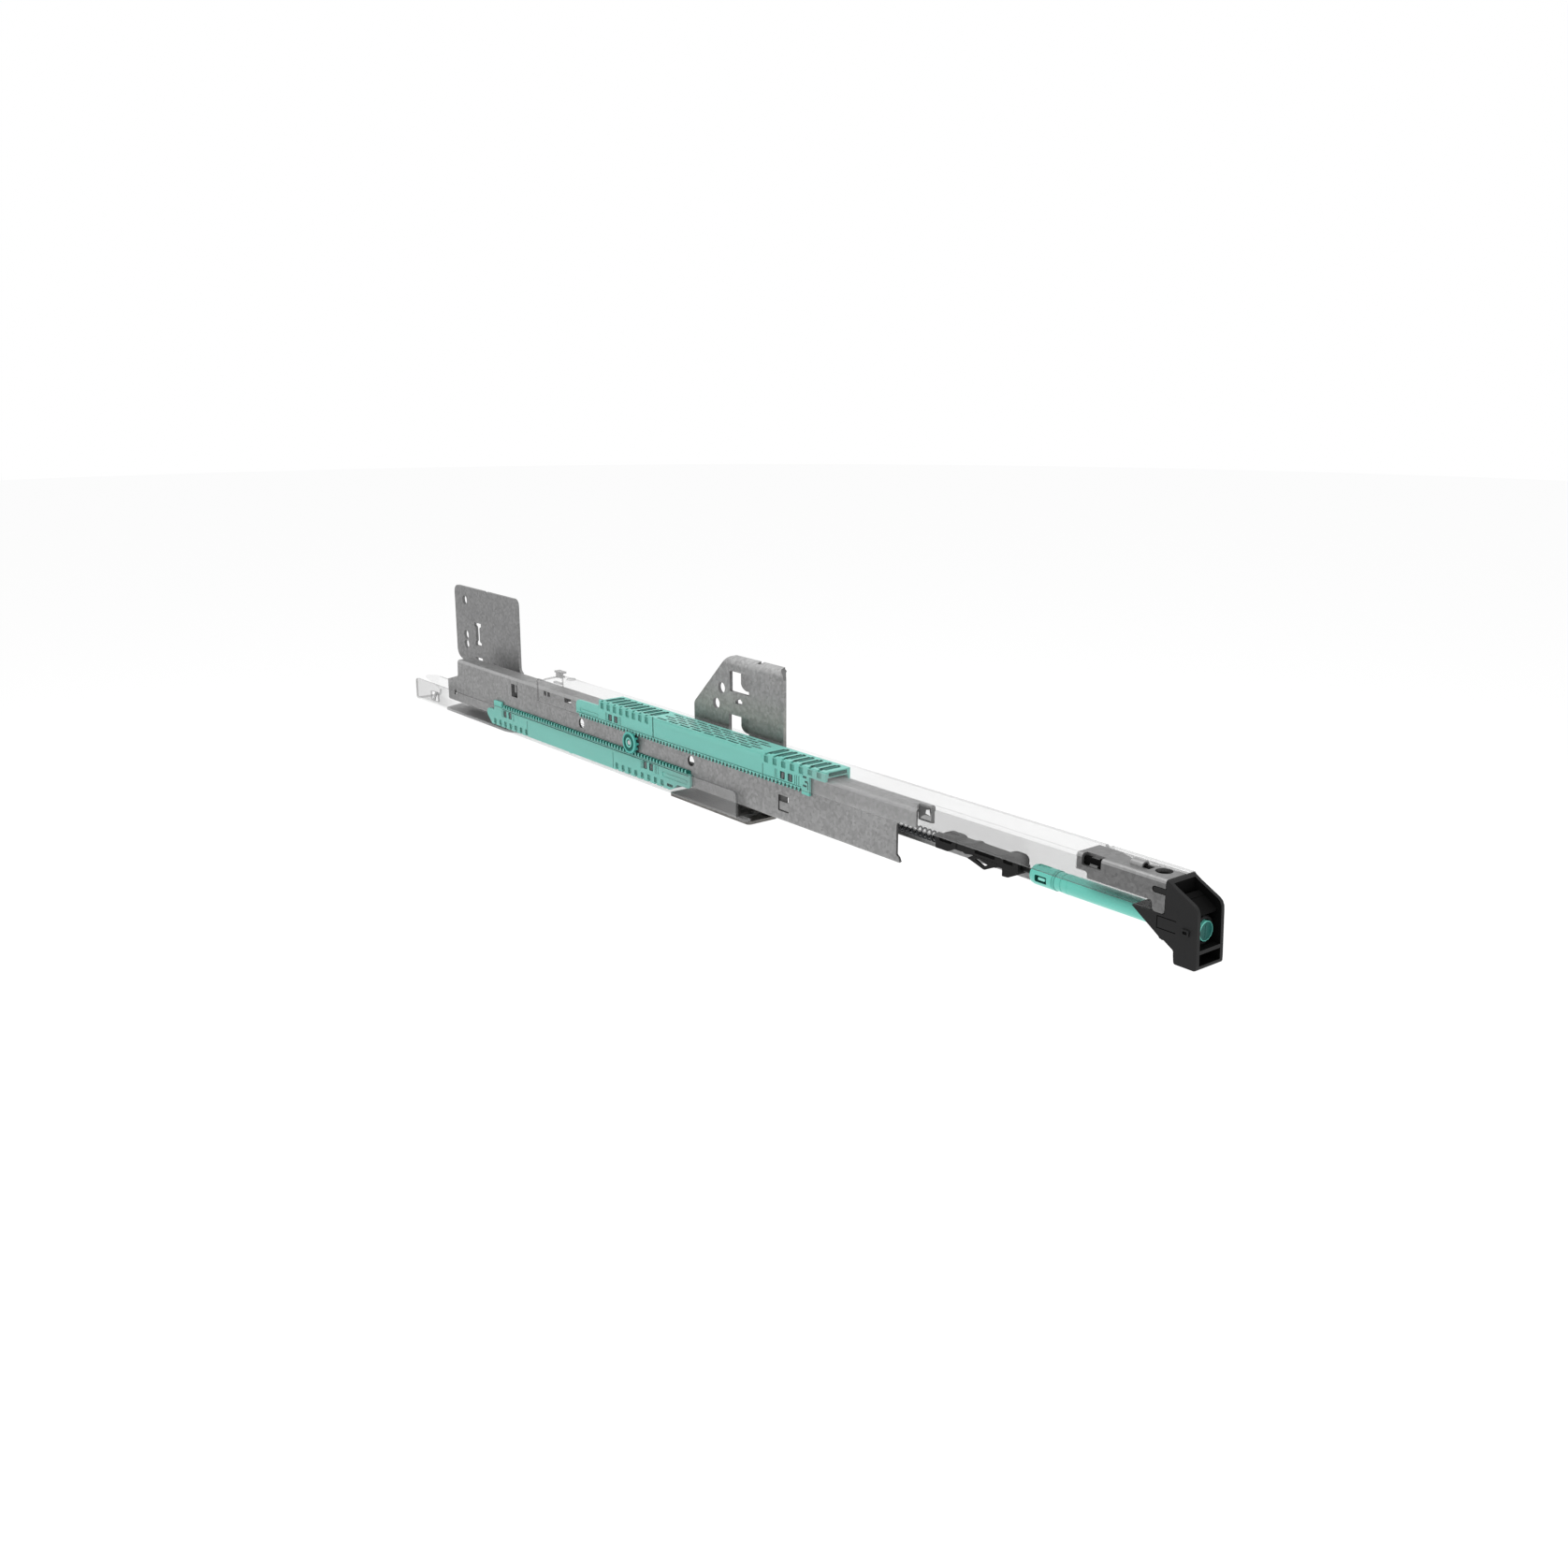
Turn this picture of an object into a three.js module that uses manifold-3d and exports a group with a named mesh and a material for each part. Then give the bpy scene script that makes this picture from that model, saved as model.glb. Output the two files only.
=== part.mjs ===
// Cabinet drawer slide: one synchronised full-extension undermount runner, left side of a cabinet.
// Millimetres. +X runs towards the drawer front, +Y towards the cabinet side wall, +Z up.
// The design datum is the rear end of the cabinet rail (x), the wall plane (y) and the underside of
// the cabinet rail (z); the exported group is moved so that the rear bracket's wall face holds the origin.
// The slide is drawn half open.
import * as THREE from "three";
import { mergeVertices } from "three/addons/utils/BufferGeometryUtils.js";
import Module from "manifold-3d";

const wasm = await Module();
wasm.setup();

// ---------------------------------------------------------------- driving dimensions
const ORIGIN = [78, 0, 58]; // point of the rear bracket's wall face that becomes the row origin

// cabinet rail (U, open upwards)
const CAB_X = [0, 377];
const CAB_Y = [-26.6, -7.0];
const CAB_T = 1.5;
const CAB_FRONT_Z = 15.4;
const CAB_BACK_Z = 13.9;

// drawer rail (U, open downwards)
const DRW_X = [170, 663.5];
const DRW_Y = [-26.6, -7.0];
const DRW_T = 1.2;
const DRW_TOP = 43.3;
const DRW_FRONT_Z = 28.9;
const DRW_BACK_Z = 15.0;

// middle rail (lipped C, open towards the wall)
const MID_X = [43, 500.6];
const MID_UP_X = [58.5, 514];
const MID_Y = [-23.2, -10.4];
const MID_T = 1.3;
const MID_Z = [7.1, 37.2];
const MID_LIP = 3.0;

// synchronising gear
const MODULE = 1;
const PINION_TEETH = 12;
const PINION_X = 272.7;
const PINION_Z = 22.1;
const PITCH_R = (MODULE * PINION_TEETH) / 2;
const RACK_PITCH = Math.PI * MODULE;
const BACKLASH = 0.34;
const ADD = 0.85;
const DED = 1.2;

// roller cages
const CAGE_Y = [-24.85, -23.5];
const CAGE_BACK_Y = [-9.9, -8.5];
const UP_ROLL_D = 4.4;
const LO_ROLL_D = 5.1;
const ROLL_Y = [-21.6, -12.0];
const SIDE_ROLL_D = 1.7;

// brackets
const BR_T = 2.0;
const SCREW_HOLE_R = 3.15;

// self-closing unit
const DAMP_Y = -16.8;
const DAMP_Z = 23.2;
const DAMP_R = 4.5;
const ROD_R = 1.2;

// ---------------------------------------------------------------- materials
const mat = (color, roughness, metalness, opacity = 1) =>
  new THREE.MeshStandardMaterial({
    color,
    roughness,
    metalness,
    opacity,
    transparent: opacity < 1,
  });
const steel = mat(0x939393, 0.5, 0.85);
const clearSteel = mat(0xdfe1e2, 0.35, 0.3, 0.35);
const teal = mat(0x76bdb2, 0.45, 0.0);
const tealRoller = mat(0x3f8d82, 0.4, 0.0);
const tealDamper = mat(0x66bfb0, 0.3, 0.0);
const black = mat(0x2b2b2b, 0.5, 0.0);
const blackSlide = mat(0x232323, 0.42, 0.0);
const bright = mat(0xb9bbbd, 0.28, 1.0);
const springSteel = mat(0x6d6e70, 0.35, 1.0);

// ---------------------------------------------------------------- solids
function solid(geometry) {
  const g = geometry.clone();
  g.deleteAttribute("normal");
  g.deleteAttribute("uv");
  const m = mergeVertices(g, 1e-4);
  return new wasm.Manifold(
    new wasm.Mesh({
      numProp: 3,
      vertProperties: Float32Array.from(m.attributes.position.array),
      triVerts: Uint32Array.from(m.index.array),
    }),
  );
}

function shapeOf(points) {
  const s = new THREE.Shape();
  points.forEach(([a, b], i) => (i ? s.lineTo(a, b) : s.moveTo(a, b)));
  s.closePath();
  return s;
}

const extrude = (points, depth) =>
  new THREE.ExtrudeGeometry(shapeOf(points), {
    depth,
    bevelEnabled: false,
    steps: 1,
  });

// an (x, z) outline, thick from y0 to y1
function alongY(points, y0, y1) {
  const g = extrude(points, y1 - y0);
  g.rotateX(Math.PI / 2);
  g.translate(0, y1, 0);
  return solid(g);
}
// a (y, z) section, long from x0 to x1
function alongX(points, x0, x1) {
  const g = extrude(points, x1 - x0);
  g.applyMatrix4(
    new THREE.Matrix4().set(0, 0, 1, x0, 1, 0, 0, 0, 0, 1, 0, 0, 0, 0, 0, 1),
  );
  return solid(g);
}
// an (x, y) outline, thick from z0 to z1
function alongZ(points, z0, z1) {
  const g = extrude(points, z1 - z0);
  g.translate(0, 0, z0);
  return solid(g);
}
function box(x0, x1, y0, y1, z0, z1) {
  const g = new THREE.BoxGeometry(x1 - x0, y1 - y0, z1 - z0);
  g.translate((x0 + x1) / 2, (y0 + y1) / 2, (z0 + z1) / 2);
  return solid(g);
}
function cylX(y, z, r, x0, x1, n = 16, r2 = r) {
  const g = new THREE.CylinderGeometry(r2, r, x1 - x0, n);
  g.rotateZ(-Math.PI / 2);
  g.translate((x0 + x1) / 2, y, z);
  return solid(g);
}
function cylY(x, z, r, y0, y1, n = 16) {
  const g = new THREE.CylinderGeometry(r, r, y1 - y0, n);
  g.translate(x, (y0 + y1) / 2, z);
  return solid(g);
}
function cylZ(x, y, r, z0, z1, n = 16) {
  const g = new THREE.CylinderGeometry(r, r, z1 - z0, n);
  g.rotateX(Math.PI / 2);
  g.translate(x, y, (z0 + z1) / 2);
  return solid(g);
}

// corner arc: points on a circle about (a, b) from angle t0 to t1 in degrees
function arc(a, b, r, t0, t1, n = 3) {
  const out = [];
  for (let i = 0; i <= n; i++) {
    const t = ((t0 + ((t1 - t0) * i) / n) * Math.PI) / 180;
    out.push([a + r * Math.cos(t), b + r * Math.sin(t)]);
  }
  return out;
}
const join = (first, ...more) => more.reduce((s, m) => s.add(m), first);
const cut = (first, ...more) => more.reduce((s, m) => s.subtract(m), first);

const root = new THREE.Group();
const frame = new THREE.Group();
frame.position.set(-ORIGIN[0], -ORIGIN[1], -ORIGIN[2]);
root.add(frame);
const groups = {};
function group(name) {
  if (!groups[name]) {
    groups[name] = new THREE.Group();
    frame.add(groups[name]);
  }
  return groups[name];
}
function piece(where, name, body, material) {
  const m = body.getMesh();
  const n = m.numProp;
  const v = new Float32Array(m.numVert * 3);
  for (let i = 0; i < m.numVert; i++)
    v.set(m.vertProperties.subarray(i * n, i * n + 3), i * 3);
  const g = new THREE.BufferGeometry();
  g.setAttribute("position", new THREE.BufferAttribute(v, 3));
  g.setIndex(new THREE.BufferAttribute(Uint32Array.from(m.triVerts), 1));
  g.computeVertexNormals();
  const mesh = new THREE.Mesh(g, material);
  mesh.name = name;
  group(where).add(mesh);
  return mesh;
}

// ---------------------------------------------------------------- cabinet rail
{
  const [y0, y1] = CAB_Y,
    t = CAB_T,
    R = 2.0,
    r = 0.6;
  const section = [
    ...arc(y0 + R, R, R, 180, 270),
    ...arc(y1 - R, R, R, 270, 360),
    [y1, CAB_BACK_Z],
    [y1 - t, CAB_BACK_Z],
    ...arc(y1 - t - r, t + r, r, 360, 270, 2),
    ...arc(y0 + t + r, t + r, r, 270, 180, 2),
    [y0 + t, CAB_FRONT_Z],
    [y0, CAB_FRONT_Z],
  ];
  let rail = alongX(section, CAB_X[0], CAB_X[1]);
  // pointed ear of the wall-side leg at the rear
  rail = rail.add(
    alongY(
      [
        [-21, 9.8],
        [4, 3.5],
        [4, CAB_BACK_Z],
        [-5, CAB_BACK_Z],
        [-20, 11.6],
      ],
      y1 - t,
      y1,
    ),
  );
  // punched window with its bent tab near the rear end
  rail = cut(rail, box(22.0, 32.4, y0 - 1, y0 + t + 0.2, 3.2, 9.9));
  rail = rail.add(
    alongY(
      [
        [23.8, 3.0],
        [26.2, 3.0],
        [29.2, 8.0],
        [31.0, 10.1],
        [28.4, 10.1],
        [26.0, 6.6],
      ],
      y0 + 0.35,
      y0 + t - 0.15,
    ),
  );
  // rounded upper corner of the front leg at the front end
  rail = cut(
    rail,
    alongY(
      [
        [CAB_X[1] + 1, CAB_FRONT_Z - 2.6],
        [CAB_X[1] + 1, CAB_FRONT_Z + 1],
        [CAB_X[1] - 2.6, CAB_FRONT_Z + 1],
        ...arc(CAB_X[1] - 2.5, CAB_FRONT_Z - 2.5, 2.5, 90, 0, 4),
      ],
      y0 - 1,
      y0 + t + 0.2,
    ),
  );
  // relief in the wall-side leg where the activator finger reaches in
  rail = cut(rail, box(300.5, 309.5, y1 - t - 0.5, y1 + 0.5, 10.0, 20));
  // run-out tongue in front of the front leg
  rail = rail.add(
    alongZ(
      [
        [CAB_X[1] - 1, y0 + 4.4],
        [CAB_X[1] - 1, y0 + 0.6],
        [CAB_X[1] + 5.5, y0 + 0.6],
        [CAB_X[1] + 7.2, y0 + 2.2],
        [CAB_X[1] + 7.2, y0 + 4.4],
      ],
      0.0,
      t,
    ),
  );
  piece("cabinet", "cabinet_rail", rail, clearSteel);
}

// ---------------------------------------------------------------- rear bracket
{
  const T = BR_T;
  // wall plate
  const plate = alongY(
    [
      [31, -1.8],
      [107.5, -1.8],
      [107.5, 33],
      ...arc(109.3, 36.8, 4.2, 250, 182, 3),
      ...arc(105.3 - 4.5, 82.4 - 4.5, 4.5, 0, 90, 4),
      [64.2, 82.4],
      [63.6, 81.5],
      [61.4, 81.5],
      [60.8, 82.4],
      ...arc(18.9 + 5, 82.4 - 5, 5, 90, 180, 4),
      ...arc(18.9 + 7, 30.6 + 7, 7, 180, 255, 4),
      [31, 28],
    ],
    -T,
    0,
  );
  // foot under the cabinet rail
  const foot = alongZ(
    [
      [30, -5.5],
      [35.9, -21.6],
      [117.6, -21.6],
      [121.5, -20.6],
      [124.5, -18.2],
      [129.5, -15.9],
      [134.5, -15.0],
      [136.5, -13.5],
      [136.5, -9.5],
      [133.5, -7.0],
      [116, -7.0],
      [110.5, -4.5],
      [107.5, -2.0],
      [107.5, 0],
      [31, 0],
      [31, -2],
    ],
    -0.3 - T + 0.2,
    -0.3,
  );
  let b = plate.add(foot);
  const [hx, h1, h2, h3] = [33.1, 73.1, 48.6, 41.9];
  for (const z of [h1, h2, h3])
    b = b.subtract(cylY(hx, z, SCREW_HOLE_R, -T - 1, 1, 20));
  // I-shaped slot
  b = cut(
    b,
    box(45.2, 54.6, -T - 1, 1, 56.7, 58.9),
    box(47.2, 52.2, -T - 1, 1, 44.5, 57.5),
    box(45.8, 54.6, -T - 1, 1, 43.0, 45.2),
    box(45.5, 55.0, -T - 1, 1, 30.5, 34.6),
    alongY(
      [
        [70.3, 31.5],
        [73.5, 31.5],
        [71.9, 35.0],
      ],
      -T - 1,
      1,
    ),
  );
  piece("cabinet", "rear_bracket", b, steel);
}

// ---------------------------------------------------------------- cabinet bracket (middle of the rail)
{
  const T = BR_T,
    yp = -5.0;
  // upright with a lip that leans back to the wall at the top
  const side = [
    [yp, -1.8],
    [0.0, -1.8],
    [0.0, 0.4],
    [yp + T, 0.4],
    [yp + T, 77.6],
    [yp + T + 0.7, 79.2],
    [-0.1, 80.4],
    [0.0, 82.2],
    [-2.4, 81.4],
    [-4.3, 80.4],
    [yp, 78.6],
  ];
  let b = alongX(side, 309.9, 391.2);
  // outline: slanted shoulder, rounded corners, relief above the foot's front end
  b = cut(
    b,
    alongY(
      [
        [300, 49.5],
        [309.9, 49.5],
        [310.2, 50.6],
        [311.2, 52.0],
        [340.0, 80.7],
        [343.0, 82.0],
        [346.0, 82.6],
        [346, 90],
        [300, 90],
      ],
      -8,
      2,
    ),
    alongY(
      [
        [395, 75.4],
        [391.2, 75.4],
        ...arc(391.2 - 4, 76.2, 4, 0, 62, 3),
        [386.5, 81.3],
        [386.5, 90],
        [395, 90],
      ],
      -8,
      2,
    ),
    box(384.2, 395, -8, 2, -3, 2.6),
    box(366.0, 368.6, -3.0, 2, 81.0, 90),
  );
  // foot under the cabinet rail
  b = b.add(
    alongZ(
      [
        [309.9, -4.6],
        [309.6, -21.1],
        [311.8, -23.4],
        [381.5, -23.6],
        [383.6, -22.6],
        [384.2, -20.8],
        [384.2, -4.6],
      ],
      -0.3 - T + 0.2,
      -0.3,
    ),
  );
  b = cut(
    b,
    cylY(336.0, 63.1, SCREW_HOLE_R, -8, 2, 20),
    cylY(331.0, 53.4, SCREW_HOLE_R, -8, 2, 20),
    box(343.8, 361.1, -8, 2, 62.5, 74.1),
    box(342.8, 360.9, -8, 2, 37.0, 49.5),
    alongY(
      [
        [348.8, 56.3],
        [354.9, 56.3],
        [354.9, 58.2],
        ...arc(352.4, 57.6, 2.0, 30, 150, 3),
        [348.8, 58.0],
      ],
      -8,
      2,
    ),
  );
  // two lanced pads that bear on the wall, each hanging from its window's front edge
  const pad = (z0, z1) =>
    join(
      alongY(
        [
          [349.6, z1 - 0.6],
          [349.6, z0 + 4.6],
          [351.2, z0 + 2.4],
          [354.0, z0 + 1.2],
          [357.4, z0 + 1.0],
          [357.4, z1 - 0.6],
        ],
        -1.6,
        0,
      ),
      alongZ(
        [
          [356.6, -1.6],
          [361.6, yp + 0.2],
          [361.6, yp + T - 0.2],
          [357.6, 0],
          [356.6, 0],
        ],
        z0 + 1.6,
        z1 - 0.8,
      ),
    );
  b = join(b, pad(62.5, 74.1), pad(38.6, 49.5));
  piece("cabinet", "cabinet_bracket", b, steel);
}

// ---------------------------------------------------------------- activator finger for the closing unit
{
  let a = join(
    box(301.2, 308.8, -6.7, -4.4, 4.0, 13.6),
    box(302.6, 307.4, -15.8, -4.6, 10.6, 13.6),
    alongY(
      [
        [303.0, 10.6],
        [307.0, 10.6],
        [307.0, 15.6],
        [306.2, 16.8],
        [303.8, 16.8],
        [303.0, 15.6],
      ],
      -18.6,
      -14.2,
    ),
  );
  piece("cabinet", "activator_finger", a, black);
}

// ---------------------------------------------------------------- middle rail
{
  const [y0, y1] = MID_Y,
    [z0, z1] = MID_Z,
    t = MID_T,
    R = 1.6,
    r = 0.4;
  const section = [
    ...arc(y0 + R, z0 + R, R, 180, 270),
    ...arc(y1 - R, z0 + R, R, 270, 360),
    [y1, z0 + MID_LIP],
    [y1 - t, z0 + MID_LIP],
    ...arc(y1 - t - r, z0 + t + r, r, 360, 270, 2),
    ...arc(y0 + t + r, z0 + t + r, r, 270, 180, 2),
    ...arc(y0 + t + r, z1 - t - r, r, 180, 90, 2),
    ...arc(y1 - t - r, z1 - t - r, r, 90, 0, 2),
    [y1 - t, z1 - MID_LIP],
    [y1, z1 - MID_LIP],
    ...arc(y1 - R, z1 - R, R, 0, 90),
    ...arc(y0 + R, z1 - R, R, 90, 180),
  ];
  let rail = alongX(section, MID_X[0], MID_UP_X[1]);
  rail = cut(
    rail,
    // rear end: the upper half starts further forward
    alongY(
      [
        [30, 21.6],
        [43, 21.6],
        [56.6, 25.6],
        [57.8, 26.6],
        [MID_UP_X[0], 36],
        [MID_UP_X[0], 50],
        [30, 50],
      ],
      -40,
      10,
    ),
    // front end: the lower half ends earlier
    alongY(
      [
        [MID_X[1], 0],
        [MID_X[1], 7.0],
        [MID_X[1] + 1.9, 7.0],
        [MID_X[1] + 2.4, 8.6],
        [MID_X[1] + 1.9, 10.2],
        [MID_X[1], 11.2],
        [MID_X[1], 26.6],
        [MID_X[1] + 1.4, 28.1],
        [530, 28.1],
        [530, 0],
      ],
      -40,
      10,
    ),
    box(131.2, 138.9, y0 - 1, y0 + t + 0.5, 24.5, 33.0),
    box(172.4, 175.4, y0 - 1, y0 + t + 0.5, 32.6, 35.4),
    box(176.8, 179.8, y0 - 1, y0 + t + 0.5, 32.6, 35.4),
    box(197.2, 204.8, y0 - 1, y0 + t + 0.5, 32.4, 35.4),
    cylY(216.2, 22.6, 3.05, y0 - 1, y0 + t + 0.5, 20),
    cylY(331.1, 22.7, 3.05, y0 - 1, y0 + t + 0.5, 20),
    cylY(PINION_X, PINION_Z, 1.85, y0 - 1, y0 + t + 0.5, 16),
    box(409.4, 418.0, y0 - 1, y0 + t + 0.5, 12.4, 21.2),
    alongY(
      [
        [51.2, 12.0],
        [55.2, 12.0],
        [53.6, 16.4],
      ],
      y0 - 1,
      y0 + t + 0.5,
    ),
  );
  // the bottom flange is cut back diagonally at the front end
  rail = cut(
    rail,
    alongZ(
      [
        [504, -21.4],
        [500.4, -21.4],
        [476, -9],
        [476, 1],
        [504, 1],
      ].reverse(),
      0,
      11,
    ),
  );
  // tabs bent in from the rear edges of the windows, and the tongue of the C-shaped window
  rail = join(
    rail,
    box(130.4, 131.3, y0 + t - 0.3, y0 + t + 5.6, 24.3, 33.2),
    box(171.7, 172.5, y0 + t - 0.3, y0 + t + 3.0, 32.3, 35.5),
    box(176.0, 176.9, y0 + t - 0.3, y0 + t + 3.0, 32.3, 35.5),
    box(196.3, 197.3, y0 + t - 0.3, y0 + t + 5.6, 32.1, 35.5),
    box(410.3, 418.2, y0 + 0.12, y0 + t, 13.2, 17.7),
    box(409.2, 415.9, y0 + 0.95, y0 + t, 17.4, 21.4),
  );
  piece("middle", "middle_rail", rail, steel);

  // riveted axle of the pinion
  const axle = join(
    cylY(PINION_X, PINION_Z, 1.5, -26.2, -20.4, 16),
    cylY(PINION_X, PINION_Z, 2.9, -21.6, -20.2, 16),
  );
  piece("middle", "pinion_axle", axle, bright);
}

// ---------------------------------------------------------------- rack and pinion teeth
// one rack edge from xa to xb; teeth have a gap centred on the pinion's x; dir -1 points down
function rackEdge(xa, xb, dir) {
  const pitchZ = PINION_Z - dir * PITCH_R; // dir -1: rack above the pinion
  const tip = pitchZ + dir * ADD,
    rootZ = pitchZ - dir * DED;
  const k = Math.tan((20 * Math.PI) / 180);
  const half = RACK_PITCH / 4 - BACKLASH / 4;
  const pts = [];
  const i0 = Math.ceil((xa + 1.7 - PINION_X) / RACK_PITCH - 0.5),
    i1 = Math.floor((xb - 1.7 - PINION_X) / RACK_PITCH - 0.5);
  for (let i = i0; i <= i1; i++) {
    const c = PINION_X + (i + 0.5) * RACK_PITCH;
    pts.push(
      [c - half - k * DED, rootZ],
      [c - half + k * ADD, tip],
      [c + half - k * ADD, tip],
      [c + half + k * DED, rootZ],
    );
  }
  return { pts, rootZ, tip };
}

{
  const involute = (R) => {
    const base = PITCH_R * Math.cos((20 * Math.PI) / 180);
    const f = Math.acos(Math.min(1, base / R));
    const f0 = (20 * Math.PI) / 180;
    return (
      Math.PI / (2 * PINION_TEETH) -
      BACKLASH / 4 / PITCH_R +
      (Math.tan(f0) - f0) -
      (Math.tan(f) - f)
    );
  };
  const radii = [
    [4.7, 0.088],
    [5.1, 0.108],
    [5.64, involute(5.64) - 0.006],
    [6.1, involute(6.1)],
    [6.5, involute(6.5)],
    [6.8, involute(6.8)],
  ];
  const outline = [];
  for (let i = 0; i < PINION_TEETH; i++) {
    const a = Math.PI / 2 + (i * 2 * Math.PI) / PINION_TEETH;
    for (const [r, h] of radii)
      outline.push([
        PINION_X + r * Math.cos(a - h),
        PINION_Z + r * Math.sin(a - h),
      ]);
    for (const [r, h] of [...radii].reverse())
      outline.push([
        PINION_X + r * Math.cos(a + h),
        PINION_Z + r * Math.sin(a + h),
      ]);
  }
  let p = join(
    alongY(outline, -25.09, -23.55),
    cylY(PINION_X, PINION_Z, 6.5, -26.3, -25.05, 36),
  );
  p = cut(
    p,
    cylY(PINION_X, PINION_Z, 1.56, -30, -20, 20),
    // ring groove in the outer face
    cut(
      cylY(PINION_X, PINION_Z, 4.0, -27, -25.85, 28),
      cylY(PINION_X, PINION_Z, 3.0, -28, -25, 28),
    ),
  );
  piece("pinion", "sync_pinion", p, teal);
}

// ---------------------------------------------------------------- upper roller cage
const UPPER_ROLLERS = [];
const LOWER_ROLLERS = [];
{
  const zTop = 41.75,
    zUnder = 38.5;
  const rack = rackEdge(213.6, 430.5, -1);
  const front = [
    [213.4, rack.rootZ],
    ...rack.pts,
    [430.6, rack.rootZ],
    [430.6, rack.tip - 0.7],
    [436.6, rack.tip - 0.9],
    [436.6, 36.4],
    [449.6, 36.4],
    [449.6, zTop],
    [239.4, zTop],
    [239.4, 37.9],
    [219.5, 37.7],
    ...arc(217.0, 35.0, 3.6, 80, 180, 4),
  ];
  let c = join(
    alongY(front, CAGE_Y[0], CAGE_Y[1]),
    box(241.0, 449.6, CAGE_Y[0] + 0.2, CAGE_BACK_Y[1] - 0.2, zUnder, zTop),
    box(241.0, 449.6, CAGE_BACK_Y[0], CAGE_BACK_Y[1], 31.0, zTop),
  );
  const tools = [];
  for (let i = 0; i < 8; i++) UPPER_ROLLERS.push(245.6 + i * 6.62);
  for (let i = 0; i < 7; i++) UPPER_ROLLERS.push(402.4 + i * 6.9);
  for (const x of UPPER_ROLLERS)
    tools.push(
      box(
        x - UP_ROLL_D / 2 - 0.3,
        x + UP_ROLL_D / 2 + 0.3,
        ROLL_Y[0] - 0.35,
        ROLL_Y[1] + 0.35,
        zUnder - 1,
        zTop + 1,
      ),
    );
  for (const x of [251.4, 257.5, 414.9, 421.2])
    tools.push(box(x - 1.9, x + 1.9, -26, -22, 30.8, 34.9));
  for (let i = 0; i < 5; i++) {
    const x = 300 + i * 20;
    tools.push(box(x, x + 12, -20.4, -19.2, 30, 50));
    tools.push(box(x + 5, x + 17, -16.6, -15.4, 30, 50));
  }
  c = cut(c, ...tools);
  piece("upper_cage", "upper_cage", c, teal);
  UPPER_ROLLERS.forEach((x, i) =>
    piece(
      "upper_cage",
      "upper_roller_" + String(i + 1).padStart(2, "0"),
      cylY(x, 39.65, UP_ROLL_D / 2, ROLL_Y[0], ROLL_Y[1], 14),
      tealRoller,
    ),
  );
  [251.4, 257.5, 414.9, 421.2].forEach((x, i) =>
    piece(
      "upper_cage",
      "upper_side_roller_" + (i + 1),
      cylZ(x, -24.3, SIDE_ROLL_D / 2, 31.1, 34.6, 12),
      bright,
    ),
  );
}

// ---------------------------------------------------------------- lower roller cage
{
  const zBot = 2.0,
    zOver = 6.2;
  const rack = rackEdge(120.2, 331.6, 1);
  const front = [
    [109.9, 18.4],
    [109.9, 11.9],
    [104.0, 11.9],
    ...arc(103.2, 8.9, 3.0, 90, 240, 4),
    [106.4, zBot],
    [312.0, zBot],
    [316.0, 3.6],
    [318.6, 6.2],
    [321.4, 6.6],
    ...arc(332.2 - 2.4, 8.6, 2.4, 290, 360, 3),
    [332.2, rack.rootZ],
    ...[...rack.pts].reverse(),
    [119.8, rack.rootZ],
    [119.8, 18.4],
  ];
  let c = join(
    alongY(front, CAGE_Y[0], CAGE_Y[1]),
    box(107.0, 311.5, CAGE_Y[0] + 0.2, CAGE_BACK_Y[1] - 0.4, zBot, zOver),
    box(107.0, 311.5, CAGE_BACK_Y[0], CAGE_BACK_Y[1] - 0.3, zBot, 9.7),
  );
  const tools = [];
  for (let i = 0; i < 6; i++) LOWER_ROLLERS.push(113.4 + i * 6.9);
  for (let i = 0; i < 7; i++) LOWER_ROLLERS.push(259.4 + i * 6.9);
  for (const x of LOWER_ROLLERS)
    tools.push(
      box(
        x - LO_ROLL_D / 2 - 0.3,
        x + LO_ROLL_D / 2 + 0.3,
        ROLL_Y[0] - 0.35,
        ROLL_Y[1] + 0.35,
        zBot - 1,
        zOver + 1,
      ),
    );
  for (const x of [124.1, 130.6, 287.4, 293.6])
    tools.push(box(x - 1.9, x + 1.9, -26, -22, 9.2, 13.5));
  for (let i = 0; i < 4; i++) {
    const x = 165 + i * 21;
    tools.push(box(x, x + 12, -20.4, -19.2, -2, 10));
    tools.push(box(x + 5, x + 17, -15.2, -14.0, -2, 10));
  }
  c = cut(c, ...tools);
  piece("lower_cage", "lower_cage", c, teal);
  LOWER_ROLLERS.forEach((x, i) =>
    piece(
      "lower_cage",
      "lower_roller_" + String(i + 1).padStart(2, "0"),
      cylY(x, 4.3, LO_ROLL_D / 2, ROLL_Y[0], ROLL_Y[1], 14),
      tealRoller,
    ),
  );
  [124.1, 130.6, 287.4, 293.6].forEach((x, i) =>
    piece(
      "lower_cage",
      "lower_side_roller_" + (i + 1),
      cylZ(x, -24.15, SIDE_ROLL_D / 2, 9.6, 13.1, 12),
      bright,
    ),
  );
}

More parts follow.
